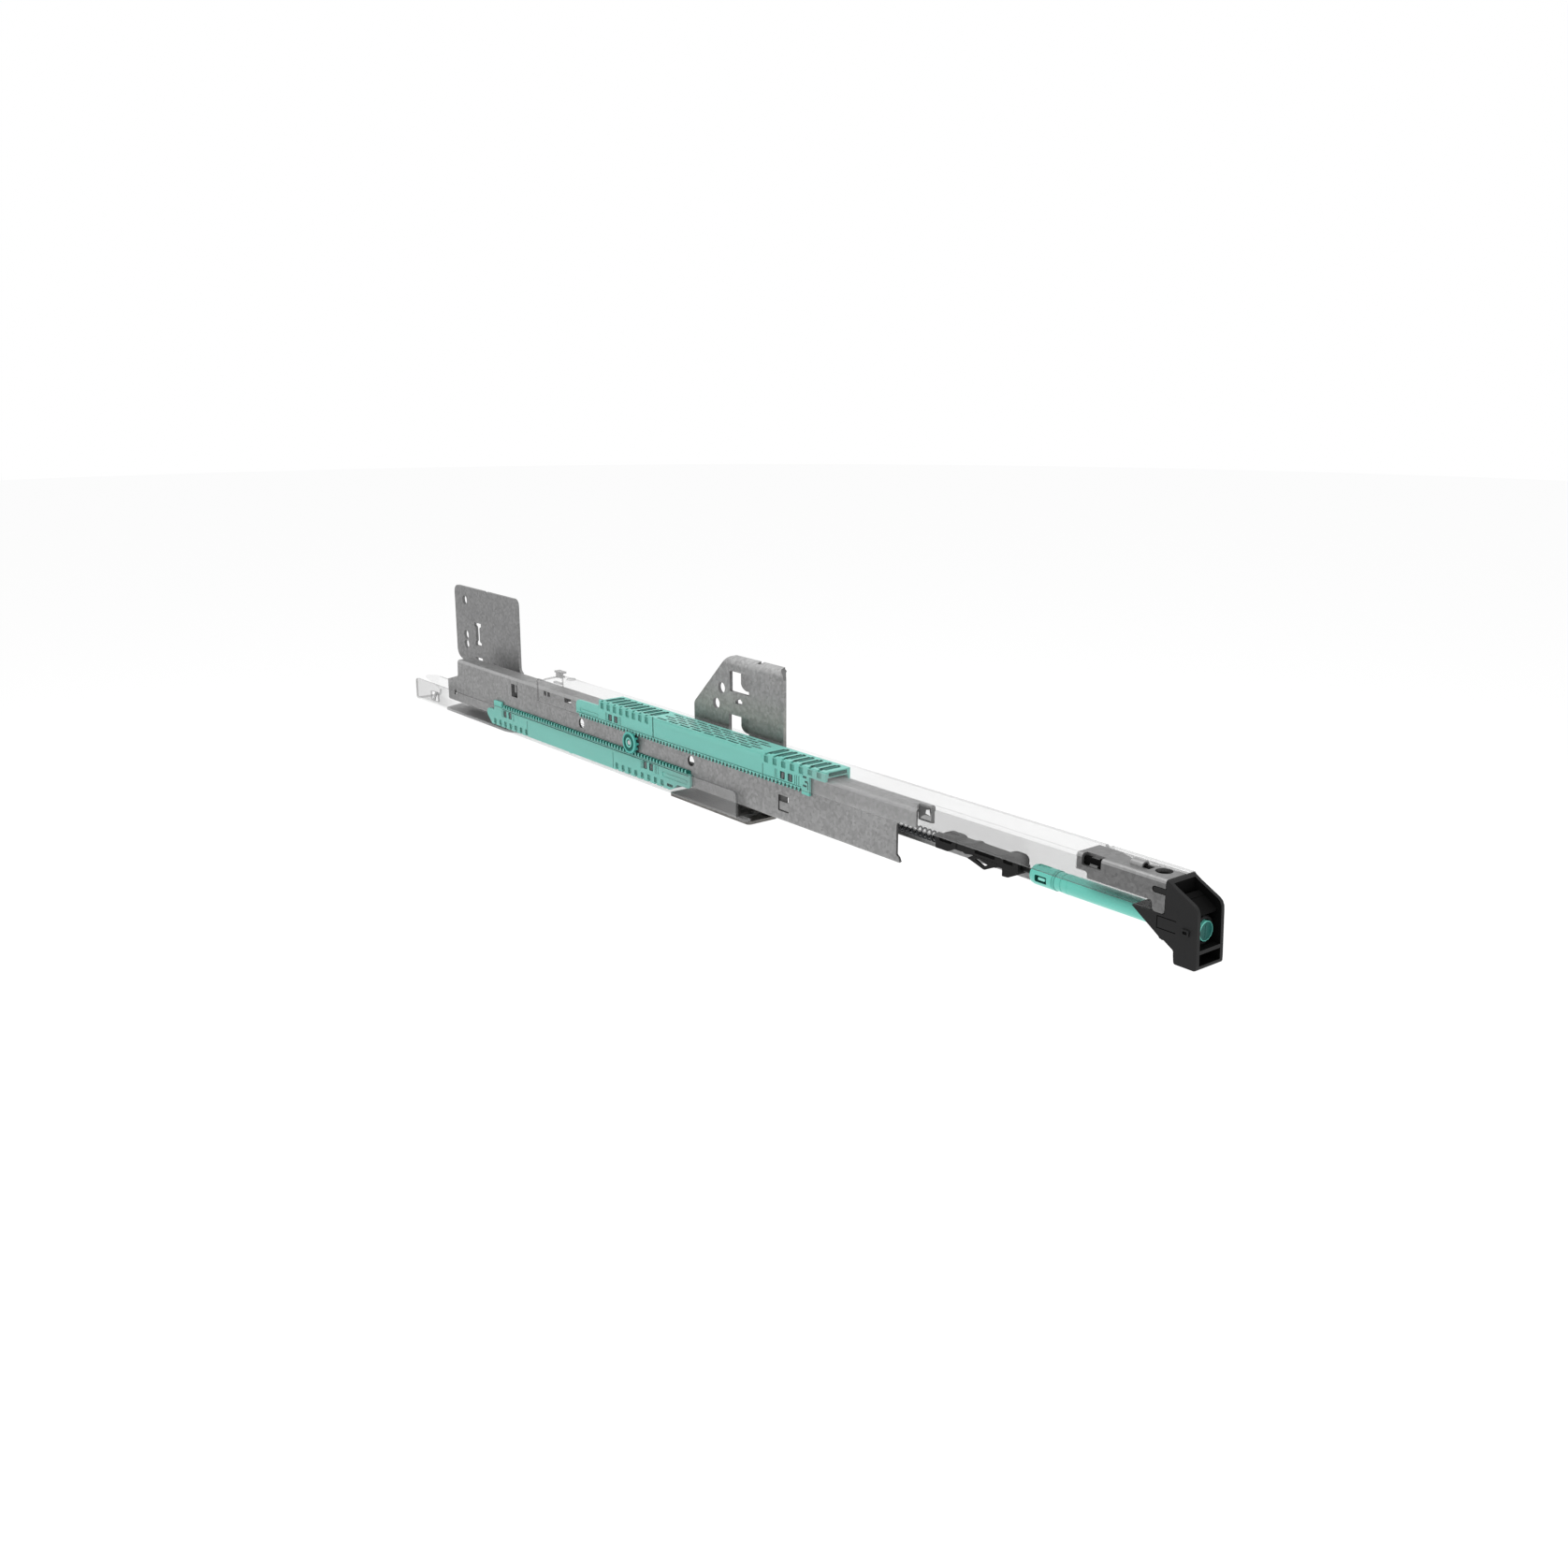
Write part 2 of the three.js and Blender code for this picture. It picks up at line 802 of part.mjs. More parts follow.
// ---------------------------------------------------------------- drawer rail
{
  const [y0, y1] = DRW_Y,
    t = DRW_T,
    R = 1.6,
    r = 0.5,
    top = DRW_TOP;
  const section = [
    [y0, DRW_FRONT_Z],
    [y0 + t, DRW_FRONT_Z],
    ...arc(y0 + t + r, top - t - r, r, 180, 90, 2),
    ...arc(y1 - t - r, top - t - r, r, 90, 0, 2),
    [y1 - t, DRW_BACK_Z],
    [y1, DRW_BACK_Z],
    ...arc(y1 - R, top - R, R, 0, 90),
    ...arc(y0 + R, top - R, R, 90, 180),
  ];
  let rail = alongX(section, DRW_X[0], DRW_X[1]);
  rail = cut(
    rail,
    // the top runs into the rear end in a shallow curve
    alongZ(
      [
        [160, y0 + t + 0.4],
        [175.2, y0 + t + 0.4],
        [172.8, y0 + 4.5],
        [171.6, -14.4],
        [172.0, -11],
        [174.5, -8.6],
        [174.5, y1 - t - 0.3],
        [160, y1 - t - 0.3],
      ],
      top - t - 0.8,
      top + 3,
    ),
    alongY(
      [
        [160, 40],
        [169, 40],
        [171.5, 50],
        [160, 50],
      ],
      y0 - 1,
      y0 + t + 0.2,
    ),
    // window of the front leg
    box(518.2, 527.5, y0 - 1, y0 + t + 0.6, 34.3, 41.4),
    // room for the front connector: top and front leg are taken away there
    box(616.2, DRW_X[1] + 1, y0 - 1, -11.7, top - t - 1.2, top + 1),
    box(616.2, DRW_X[1] + 1, y0 - 1, y0 + t + 0.6, 35.7, top + 1),
    box(622.4, DRW_X[1] + 1, y0 - 1, y0 + t + 0.6, 32.7, top + 1),
    box(656.6, DRW_X[1] + 1, y0 - 1, y0 + t + 0.6, 20, top + 1),
    // wall-side leg ends ahead of the cap
    box(646.0, DRW_X[1] + 1, y1 - t - 0.6, y1 + 1, 10, 34.0),
    // small notch of the wall-side top edge and slots at the rear
    box(617.7, 620.8, y1 - 2.6, y1 + 1, top - 3, top + 1),
    box(183.0, 192.0, -22.6, -20.2, top - t - 1, top + 1),
  );
  // tab bent into the front leg's window
  rail = rail.add(
    alongZ(
      [
        [517.6, y0 + 0.1],
        [518.4, y0 + 0.1],
        [521.0, y0 + 2.0],
        [521.0, y0 + 3.0],
        [520.2, y0 + 3.0],
        [517.6, y0 + 1.0],
      ],
      35.2,
      40.6,
    ),
  );
  // rear hook that enters the back of the drawer, and a round emboss
  rail = join(
    rail,
    box(174.0, 180.6, -14.8, -13.4, top - 0.6, top + 3.9),
    box(172.4, 180.6, -14.8, -11.0, top + 2.9, top + 4.1),
    box(172.4, 174.6, -12.2, -11.0, top + 2.0, top + 4.1),
    cylZ(187.0, -11.6, 3.0, top - 0.4, top + 0.8, 18),
    alongX(
      [
        [y1 - t - 1.0, 22.0],
        [y1 - t + 0.3, 22.0],
        [y1 - t + 0.3, 26.0],
        [y1 - t - 1.0, 26.0],
      ],
      460,
      466,
    ),
  );
  piece("drawer", "drawer_rail", rail, clearSteel);
}

// ---------------------------------------------------------------- front connector (sheet steel)
{
  const [y0] = DRW_Y,
    t = 1.5,
    top = DRW_TOP,
    R = 1.6;
  const section = [
    [y0, 28.6],
    [y0 + t, 28.6],
    ...arc(y0 + t + 0.5, top - t - 0.5, 0.5, 180, 90, 2),
    [-12.1, top - t],
    [-12.1, top],
    ...arc(y0 + R, top - R, R, 90, 180, 4),
  ];
  let b = alongX(section, 616.6, 663.6);
  b = cut(
    b,
    alongY(
      [
        [610, 20],
        [610, 36.0],
        [622.4, 36.0],
        [622.6, 33.0],
        [656.4, 33.0],
        [657.4, 31.0],
        [657.4, 29.6],
        ...arc(658.9, 30.1, 1.5, 180, 270, 3),
        ...arc(662.1, 30.1, 1.5, 270, 360, 3),
        [670, 30],
        [670, 20],
      ],
      y0 - 1,
      y0 + t + 1,
    ),
    // open window at the rear upper corner
    box(619.3, 629.8, y0 - 1, -23.0, 38.2, top + 1),
    // pocket for the cap's hook
    alongY(
      [
        [664, 36.7],
        [664, 39.5],
        [658.2, 39.5],
        ...arc(658.2, 38.1, 1.4, 90, 270, 4),
      ],
      y0 - 1,
      y0 + t + 1,
    ),
    cylZ(655.8, -18.0, 3.7, top - 5, top + 2, 24),
    // stepped wall-side edge of the top
    alongZ(
      [
        [629.5, -11],
        [631.1, -13.2],
        [636.6, -15.0],
        [641.9, -15.4],
        [664, -13.6],
        [664, -11],
      ],
      top - 3,
      top + 2,
    ),
    box(640.5, 650.5, -21.2, -16.9, top - 3, top + 2),
  );
  // arched tab over the slot
  b = b.add(
    alongX(
      [
        [-21.4, top - 0.6],
        [-20.6, top - 0.6],
        [-20.2, top + 0.7],
        [-18.9, top + 1.3],
        [-17.6, top + 0.7],
        [-17.2, top - 0.6],
        [-16.4, top - 0.6],
        [-16.6, top + 1.1],
        [-17.9, top + 2.1],
        [-19.9, top + 2.1],
        [-21.2, top + 1.1],
      ],
      640.6,
      647.0,
    ),
  );
  piece("drawer", "front_connector", b, steel);
}

// ---------------------------------------------------------------- end cap
{
  const y0 = -26.6,
    y1 = -9.3;
  const outline = [
    [646.9, 28.2],
    [655.0, 22.9],
    [661.5, 18.6],
    [663.4, 17.6],
    [669.1, 14.7],
    [669.7, 9.9],
    [670.6, 9.0],
    [680.0, 9.0],
    [681.0, 10.0],
    [681.0, 12.0],
    [680.0, 33.0],
    [679.1, 35.1],
    [676.1, 37.2],
    [668.0, 41.2],
    [664.8, 43.0],
    [663.9, 43.3],
    [663.9, 28.3],
    [656.9, 28.3],
  ];
  let c = alongY(outline, y0, y1);
  // upper bridge between the rails' front ends, inside the connector
  c = cut(
    c,
    // front cavity, open forwards and at the sloped top
    box(670.2, 690, y0 + 2.0, y1 - 2.0, 17.4, 50),
    alongY(
      [
        [666.2, 36.0],
        [671.0, 34.0],
        [671.0, 50],
        [666.2, 50],
      ],
      y0 + 2.0,
      y1 - 2.0,
    ),
    // lower pocket
    box(672.0, 690, y0 + 2.0, y1 - 2.0, 10.8, 15.8),
  );
  // damper socket ring and the sloped rib above it
  c = join(
    c,
    cylX(DAMP_Y, DAMP_Z, 6.3, 666.0, 676.4, 28),
    alongY(
      [
        [668.5, 35.2],
        [677.6, 30.2],
        [677.6, 31.8],
        [668.5, 37.4],
      ],
      y0 + 1.0,
      y1 - 1.0,
    ),
  );
  c = cut(c, cylX(DAMP_Y, DAMP_Z, DAMP_R + 0.35, 640, 690, 28));
  // hook, peg and outlined panel of the side
  c = join(
    c,
    alongY(
      [
        [664.6, 37.0],
        [664.6, 39.2],
        [658.4, 39.2],
        ...arc(658.4, 38.1, 1.1, 90, 270, 4),
      ],
      y0 + 0.1,
      y0 + 1.6,
    ),
    box(672.9, 676.6, y0 - 0.7, y0 + 1.0, 22.7, 25.4),
  );
  c = cut(
    c,
    cut(
      box(660.1, 669.9, y0 - 1, y0 + 0.35, 21.9, 27.5),
      box(660.6, 669.4, y0 - 2, y0 + 1, 22.4, 27.0),
    ),
  );
  // spigot inside the connector: a tongue under its top and a deeper block at the cap
  c = join(
    c,
    box(618.6, 664.5, -24.7, -12.6, 38.0, 41.6),
    box(646.6, 664.5, -24.7, -12.6, 33.6, 41.6),
  );
  piece("drawer", "end_cap", c, black);
}

// ---------------------------------------------------------------- damper
{
  let cyl = join(
    cylX(DAMP_Y, DAMP_Z, DAMP_R, 603.2, 675.8, 28),
    cylX(DAMP_Y, DAMP_Z, 4.1, 600.0, 604.0, 28),
  );
  cyl = cut(cyl, cylX(DAMP_Y, DAMP_Z, ROD_R + 0.3, 590, 634, 16));
  piece("drawer", "damper_cylinder", cyl, tealDamper);

  let collar = join(
    cylX(DAMP_Y, DAMP_Z, 4.7, 586.4, 599.6, 28),
    cylX(DAMP_Y, DAMP_Z, 4.3, 585.0, 586.8, 28),
    cylX(DAMP_Y, DAMP_Z, 4.35, 599.0, 602.8, 28),
  );
  collar = cut(
    collar,
    cylX(DAMP_Y, DAMP_Z, ROD_R + 0.3, 570, 610, 16),
    cylX(DAMP_Y, DAMP_Z, 4.15, 599.8, 604, 28),
    box(588.6, 595.4, -24, -18.5, 21.3, 24.5),
  );
  piece("drawer", "damper_collar", collar, tealDamper);

  let plug = cylX(DAMP_Y, DAMP_Z, 4.4, 676.1, 677.6, 28);
  plug = cut(
    plug,
    cut(
      cylX(DAMP_Y, DAMP_Z, 3.3, 677.2, 679, 24),
      cylX(DAMP_Y, DAMP_Z, 2.5, 676, 680, 24),
    ),
  );
  piece("drawer", "damper_end_plug", plug, tealDamper);
}

// ---------------------------------------------------------------- closing unit: carrier, spring seat, catch
{
  // sheet carrier on the wall-side leg, with a guide ledge the catch runs on
  let carrier = join(
    box(444.0, 602.0, -9.9, -8.5, 16.0, 21.0),
    box(486.0, 602.0, -12.3, -9.6, 18.6, 19.8),
  );
  carrier = cut(
    carrier,
    box(459.0, 467.0, -10.5, -8.0, 17.3, 19.9),
    box(592.0, 603, -13, -9.7, 17, 32),
  );
  piece("drawer", "catch_carrier", carrier, steel);

  const seat = cut(
    join(
      box(445.0, 450.0, -20.6, -10.2, 19.6, 28.0),
      cylX(-16.4, 24.0, 1.6, 449.0, 456.0, 14),
    ),
    box(446.5, 448.5, -21, -18.5, 19, 29),
  );
  piece("drawer", "spring_seat", seat, black);

  // spring as the sleeve of its own outer and inner size
  const ring = [
    new THREE.Vector2(2.0, 0),
    new THREE.Vector2(2.9, 0),
    new THREE.Vector2(2.9, 74.2),
    new THREE.Vector2(2.0, 74.2),
    new THREE.Vector2(2.0, 0),
  ];
  const sleeve = new THREE.LatheGeometry(ring, 20);
  sleeve.rotateZ(-Math.PI / 2);
  sleeve.translate(450.4, -16.4, 24.0);
  piece("catch", "closing_spring", solid(sleeve), springSteel);

  // catch slider
  const top = [
    [524.9, 20.7],
    [533.0, 20.7],
    [537.6, 22.9],
    [543.1, 23.0],
    [544.4, 22.4],
    [548.4, 23.1],
    [564.9, 23.1],
    [564.9, 21.5],
    [577.6, 21.5],
    [577.7, 26.8],
    [576.9, 28.1],
    [575.4, 28.9],
    [570.1, 28.9],
    [566.2, 27.3],
    [549.7, 27.5],
    [548.5, 28.2],
    [546.1, 27.9],
    [544.5, 27.4],
    [538.6, 27.4],
    [537.0, 28.5],
    [528.7, 28.5],
    [526.3, 27.0],
    [524.9, 26.4],
  ];
  let slider = alongY(top, -20.6, -13.0);
  slider = join(
    slider,
    box(526.0, 576.0, -13.4, -10.4, 21.6, 23.2),
    alongY(
      [
        [567.0, 17.4],
        [570.7, 17.6],
        [577.4, 20.8],
        [577.6, 22.0],
        [567.0, 22.0],
      ],
      -19.4,
      -13.8,
    ),
    cylX(-16.4, 24.0, 1.6, 520.0, 526.0, 14),
  );
  slider = cut(slider, cylX(DAMP_Y, 24.4, 1.6, 572.0, 590, 14));
  piece("catch", "catch_slider", slider, blackSlide);

  const rod = join(
    cylX(DAMP_Y, DAMP_Z, ROD_R, 578.0, 630.0, 16),
    cylX(DAMP_Y, DAMP_Z + 1.0, 1.25, 573.0, 579.0, 14),
  );
  piece("catch", "damper_rod", rod, blackSlide);

  // tilting claw, hinged on the slider
  const claw = [
    [545.7, 20.7],
    [548.6, 19.9],
    [556.6, 17.7],
    [562.6, 20.4],
    [564.3, 20.6],
    [564.3, 22.7],
    [549.0, 22.7],
  ];
  let k = alongY(claw, -20.2, -13.6);
  k = cut(
    k,
    alongY(
      [
        [550.6, 21.0],
        [555.6, 19.5],
        [556.9, 20.1],
        [552.0, 21.7],
      ],
      -22,
      -10,
    ),
  );
  piece("claw", "catch_claw", k, blackSlide);
}

export default root;
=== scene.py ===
# Looks of the cabinet drawer slide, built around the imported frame. Everything is drawn in the design's
# millimetres (x from the rear end of the cabinet rail, y from the wall, z from the cabinet rail's underside)
# and moved to the row frame in metres at the end.
import math

import bmesh
import bpy
from mathutils import Matrix, Vector


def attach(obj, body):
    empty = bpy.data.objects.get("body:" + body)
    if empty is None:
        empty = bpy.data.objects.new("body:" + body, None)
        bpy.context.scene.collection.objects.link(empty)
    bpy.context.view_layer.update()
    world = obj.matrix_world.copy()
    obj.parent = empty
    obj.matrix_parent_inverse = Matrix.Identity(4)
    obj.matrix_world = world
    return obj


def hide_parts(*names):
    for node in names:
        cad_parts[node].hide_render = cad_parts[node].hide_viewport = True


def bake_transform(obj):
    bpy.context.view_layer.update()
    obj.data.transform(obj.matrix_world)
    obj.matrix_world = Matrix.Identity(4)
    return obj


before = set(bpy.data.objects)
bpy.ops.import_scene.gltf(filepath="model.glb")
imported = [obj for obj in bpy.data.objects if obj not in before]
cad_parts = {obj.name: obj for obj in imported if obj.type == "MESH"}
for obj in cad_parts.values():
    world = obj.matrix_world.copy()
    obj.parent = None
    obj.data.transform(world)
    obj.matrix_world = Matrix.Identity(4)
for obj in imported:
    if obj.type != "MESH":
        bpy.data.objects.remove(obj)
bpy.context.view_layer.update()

SCENE = bpy.context.scene
ORIGIN = (78.0, 0.0, 58.0)
TO_ROW = Matrix.Scale(0.001, 4) @ Matrix.Translation((-ORIGIN[0], -ORIGIN[1], -ORIGIN[2]))
NSLOT = 10


# ------------------------------------------------------------------ materials
def nodes_of(name):
    m = bpy.data.materials.new(name)
    m.use_nodes = True
    nt = m.node_tree
    b = nt.nodes["Principled BSDF"]
    return m, nt, b


def tex_noise(nt, scale, detail=3.0, rough=0.55, coord=None, stretch=None):
    n = nt.nodes.new("ShaderNodeTexNoise")
    n.inputs["Scale"].default_value = scale
    n.inputs["Detail"].default_value = detail
    n.inputs["Roughness"].default_value = rough
    src = coord.outputs["Object"]
    if stretch:
        mp = nt.nodes.new("ShaderNodeMapping")
        mp.inputs["Scale"].default_value = stretch
        nt.links.new(src, mp.inputs["Vector"])
        src = mp.outputs["Vector"]
    nt.links.new(src, n.inputs["Vector"])
    return n


def ramp(nt, fac, stops):
    r = nt.nodes.new("ShaderNodeValToRGB")
    els = r.color_ramp.elements
    while len(els) < len(stops):
        els.new(0.5)
    for e, (p, c) in zip(els, stops):
        e.position = p
        e.color = (*c, 1.0)
    nt.links.new(fac, r.inputs["Fac"])
    return r


def mix_val(nt, a, b, fac):
    m = nt.nodes.new("ShaderNodeMath")
    m.operation = "MULTIPLY_ADD"
    nt.links.new(a, m.inputs[0])
    m.inputs[1].default_value = fac
    nt.links.new(b, m.inputs[2])
    return m


def to_range(nt, src, lo, hi, out_lo, out_hi):
    m = nt.nodes.new("ShaderNodeMapRange")
    m.inputs["From Min"].default_value = lo
    m.inputs["From Max"].default_value = hi
    m.inputs["To Min"].default_value = out_lo
    m.inputs["To Max"].default_value = out_hi
    nt.links.new(src, m.inputs["Value"])
    return m


def bump(nt, b, src, strength, distance):
    k = nt.nodes.new("ShaderNodeBump")
    k.inputs["Strength"].default_value = strength
    k.inputs["Distance"].default_value = distance
    nt.links.new(src, k.inputs["Height"])
    nt.links.new(k.outputs["Normal"], b.inputs["Normal"])


def steel(name, lo, hi, metallic=0.8, rough=(0.4, 0.56), alpha=1.0, tint=(1.0, 1.0, 1.0), speckle=1.0):
    """Hot-dip galvanised sheet: small flat crystals, finer frosting, and broad drifts of tone."""
    m, nt, b = nodes_of(name)
    co = nt.nodes.new("ShaderNodeTexCoord")
    cell = nt.nodes.new("ShaderNodeTexVoronoi")
    cell.inputs["Scale"].default_value = 620.0
    cell.inputs["Randomness"].default_value = 1.0
    nt.links.new(co.outputs["Object"], cell.inputs["Vector"])
    bw = nt.nodes.new("ShaderNodeRGBToBW")
    nt.links.new(cell.outputs["Color"], bw.inputs["Color"])
    fine = tex_noise(nt, 1500.0, 2.0, 0.6, co)
    broad = tex_noise(nt, 22.0, 2.0, 0.5, co, (1.0, 1.0, 2.0))
    s1 = mix_val(nt, fine.outputs["Fac"], bw.outputs["Val"], 1.1 * speckle)
    s2 = mix_val(nt, broad.outputs["Fac"], s1.outputs["Value"], 0.8)
    f = to_range(nt, s2.outputs["Value"], 0.55, 2.05, 0.0, 1.0)
    mid = [(a + c) / 2 for a, c in zip(lo, hi)]
    r = ramp(nt, f.outputs["Result"], [(0.0, lo), (0.5, mid), (1.0, hi)])
    nt.links.new(r.outputs["Color"], b.inputs["Base Color"])
    rr = to_range(nt, fine.outputs["Fac"], 0.25, 0.75, rough[0], rough[1])
    nt.links.new(rr.outputs["Result"], b.inputs["Roughness"])
    b.inputs["Metallic"].default_value = metallic
    b.inputs["Alpha"].default_value = alpha
    bump(nt, b, s1.outputs["Value"], 0.16, 0.00003)
    return m


def along_x(nt, stops):
    """A value that changes along the part: stops are (design x in mm, value)."""
    co = nt.nodes.new("ShaderNodeTexCoord")
    sep = nt.nodes.new("ShaderNodeSeparateXYZ")
    nt.links.new(co.outputs["Object"], sep.inputs["Vector"])
    f = to_range(nt, sep.outputs["X"], -0.1, 0.65, 0.0, 1.0)
    return ramp(nt, f.outputs["Result"], [(((x - ORIGIN[0]) / 1000 + 0.1) / 0.75, (v, v, v)) for x, v in stops])


def film(name, alpha, tone, metallic=0.3, speckle=0.9, rough=(0.4, 0.56)):
    """Galvanised sheet drawn see-through: opacity and tone are set along the rail by stops, which also paint shade and
    highlight where needed.
    """
    m = steel(name, (0.5,) * 3, (0.5,) * 3, metallic=metallic, rough=rough, speckle=speckle)
    nt = m.node_tree
    b = nt.nodes["Principled BSDF"]
    a = along_x(nt, alpha)
    nt.links.new(a.outputs["Color"], b.inputs["Alpha"])
    t = along_x(nt, tone)
    old = b.inputs["Base Color"].links[0].from_node
    old.color_ramp.elements[0].color = (0.90, 0.90, 0.90, 1)
    old.color_ramp.elements[1].color = (1.0, 1.0, 1.0, 1)
    old.color_ramp.elements[2].color = (1.10, 1.10, 1.10, 1)
    mx = nt.nodes.new("ShaderNodeMix")
    mx.data_type = "RGBA"
    mx.blend_type = "MULTIPLY"
    mx.inputs[0].default_value = 1.0
    nt.links.new(t.outputs["Color"], mx.inputs[6])
    nt.links.new(old.outputs["Color"], mx.inputs[7])
    nt.links.new(mx.outputs[2], b.inputs["Base Color"])
    return m


def paint_light_by_height(m, stops):
    """Multiply a material's colour by a tint that changes with height, to paint light and shade: stops are (design z
    in mm, colour).
    """
    nt = m.node_tree
    b = nt.nodes["Principled BSDF"]
    co = nt.nodes.new("ShaderNodeTexCoord")
    sep = nt.nodes.new("ShaderNodeSeparateXYZ")
    nt.links.new(co.outputs["Object"], sep.inputs["Vector"])
    f = to_range(nt, sep.outputs["Z"], -0.07, 0.03, 0.0, 1.0)
    t = ramp(nt, f.outputs["Result"], [(((z - ORIGIN[2]) / 1000 + 0.07) / 0.1, c) for z, c in stops])
    old = b.inputs["Base Color"].links[0].from_socket
    mx = nt.nodes.new("ShaderNodeMix")
    mx.data_type = "RGBA"
    mx.blend_type = "MULTIPLY"
    mx.inputs[0].default_value = 1.0
    nt.links.new(old, mx.inputs[6])
    nt.links.new(t.outputs["Color"], mx.inputs[7])
    nt.links.new(mx.outputs[2], b.inputs["Base Color"])
    return m


def plastic(name, lo, hi, rough=(0.34, 0.46), spec=0.4, grain=900.0, grain_strength=0.06, coat=0.0):
    """Moulded plastic: faint flow marks along the part, slight drift of tone and a fine tool grain."""
    m, nt, b = nodes_of(name)
    co = nt.nodes.new("ShaderNodeTexCoord")
    flow = tex_noise(nt, 60.0, 3.0, 0.55, co, (0.25, 1.0, 1.6))
    fine = tex_noise(nt, grain, 2.0, 0.5, co)
    s = mix_val(nt, fine.outputs["Fac"], flow.outputs["Fac"], 0.35)
    f = to_range(nt, s.outputs["Value"], 0.4, 0.95, 0.0, 1.0)
    r = ramp(nt, f.outputs["Result"], [(0.0, lo), (1.0, hi)])
    nt.links.new(r.outputs["Color"], b.inputs["Base Color"])
    rr = to_range(nt, flow.outputs["Fac"], 0.3, 0.7, rough[0], rough[1])
    nt.links.new(rr.outputs["Result"], b.inputs["Roughness"])
    b.inputs["Metallic"].default_value = 0.0
    b.inputs["Specular IOR Level"].default_value = spec
    b.inputs["Coat Weight"].default_value = coat
    bump(nt, b, fine.outputs["Fac"], grain_strength, 0.00004)
    return m


def turned(name, base, rough=0.22):
    """Bright turned or drawn steel with fine rings of tooling."""
    m, nt, b = nodes_of(name)
    co = nt.nodes.new("ShaderNodeTexCoord")
    w = tex_noise(nt, 500.0, 2.0, 0.6, co, (1.0, 6.0, 1.0))
    f = to_range(nt, w.outputs["Fac"], 0.3, 0.7, 0.0, 1.0)
    r = ramp(nt, f.outputs["Result"], [(0.0, [c * 0.82 for c in base]), (1.0, base)])
    nt.links.new(r.outputs["Color"], b.inputs["Base Color"])
    rr = to_range(nt, w.outputs["Fac"], 0.3, 0.7, rough * 0.8, rough * 1.4)
    nt.links.new(rr.outputs["Result"], b.inputs["Roughness"])
    b.inputs["Metallic"].default_value = 1.0
    bump(nt, b, w.outputs["Fac"], 0.08, 0.00002)
    return m


STEEL = steel("galvanised_steel", (0.162,) * 3, (0.338,) * 3)
# brighter steel for the bevels on sheared edges: painted highlight
EDGE_HIGHLIGHT_STEEL = steel("steel_edge_painted_highlight", (0.36,) * 3, (0.52,) * 3, metallic=0.9, rough=(0.3, 0.42))
# darker steel for inside faces, hole walls and cut faces: painted shade
SHADE_STEEL = steel("galvanised_steel_painted_shade", (0.12,) * 3, (0.2,) * 3)
STEEL_REAR = steel("galvanised_steel_rear", (0.134, 0.134, 0.135), (0.278, 0.278, 0.279))
# cabinet bracket steel with painted light: darker towards the bottom as painted shade, brighter on the top bend as
# painted highlight
BRACKET_STEEL_LIT = paint_light_by_height(steel("galvanised_steel_bracket_painted_light", (0.168,) * 3, (0.342,) * 3), [(40.0, (0.55, 0.53, 0.50)), (45.0, (0.79, 0.80, 0.76)), (52.0, (0.99, 1.02, 0.95)), (60.0, (1.0, 1.02, 0.98)), (66.0, (1.0, 1.0, 1.0)), (77.5, (1.0, 1.0, 1.0)), (79.0, (1.3, 1.3, 1.3)), (82.4, (1.4, 1.4, 1.4))])
C_FRONT = film("see_through_front_cabinet", [(0, 0.40), (40, 0.36), (60, 0.09), (300, 0.08), (335, 0.26), (377, 0.5)], [(0, 0.22), (40, 0.22), (62, 0.34), (377, 0.30)])
C_FLAT = film("see_through_flat_cabinet", [(0, 0.22), (40, 0.20), (62, 0.32), (300, 0.32), (377, 0.4)], [(0, 0.30), (377, 0.30)])
# see-through front of the drawer rail; from x 591 a dark tone with more opacity is painted shade over the damper under
# the connector
D_FRONT = film("see_through_front_drawer", [(170, 0.10), (200, 0.05), (430, 0.04), (450, 0.27), (516, 0.29), (521, 0.47), (585, 0.47), (591, 0.33), (620, 0.33)], [(170, 0.35), (430, 0.4), (450, 0.42), (515, 0.42), (521, 0.20), (585, 0.20), (591, 0.06), (620, 0.06)])
# top face of the drawer rail in a lighter tone than its front: painted light
D_LIT_TOP = film("see_through_painted_light_top_drawer", [(170, 0.2), (205, 0.03), (300, 0.03), (318, 0.10), (396, 0.10), (410, 0.04), (452, 0.05), (480, 0.24), (620, 0.25), (664, 0.24)], [(170, 0.5), (300, 0.6), (480, 0.55), (664, 0.55)])
G_INNER = steel("see_through_inner", (0.5,) * 3, (0.6,) * 3, metallic=0.4, alpha=0.015)
# darker, more opaque colour on edges and bevels of the see-through sheets: painted shade lines
G_SHADE_EDGE = steel("see_through_painted_shade_edge", (0.11,) * 3, (0.16,) * 3, metallic=0.4, alpha=0.5)
G_BACK = steel("see_through_back", (0.26,) * 3, (0.42,) * 3, metallic=0.5, alpha=0.10, speckle=1.6)
# very dark fill for windows, bent-in tabs and cut faces: painted shade
G_SHADE_FILL = steel("pressed_tab_painted_shade", (0.035,) * 3, (0.075,) * 3, metallic=0.3)
G_HOOK = steel("see_through_hook", (0.30,) * 3, (0.44,) * 3, metallic=0.3, alpha=0.75)
G_LINE = steel("see_through_line", (0.20,) * 3, (0.26,) * 3, metallic=0.3, alpha=0.32)
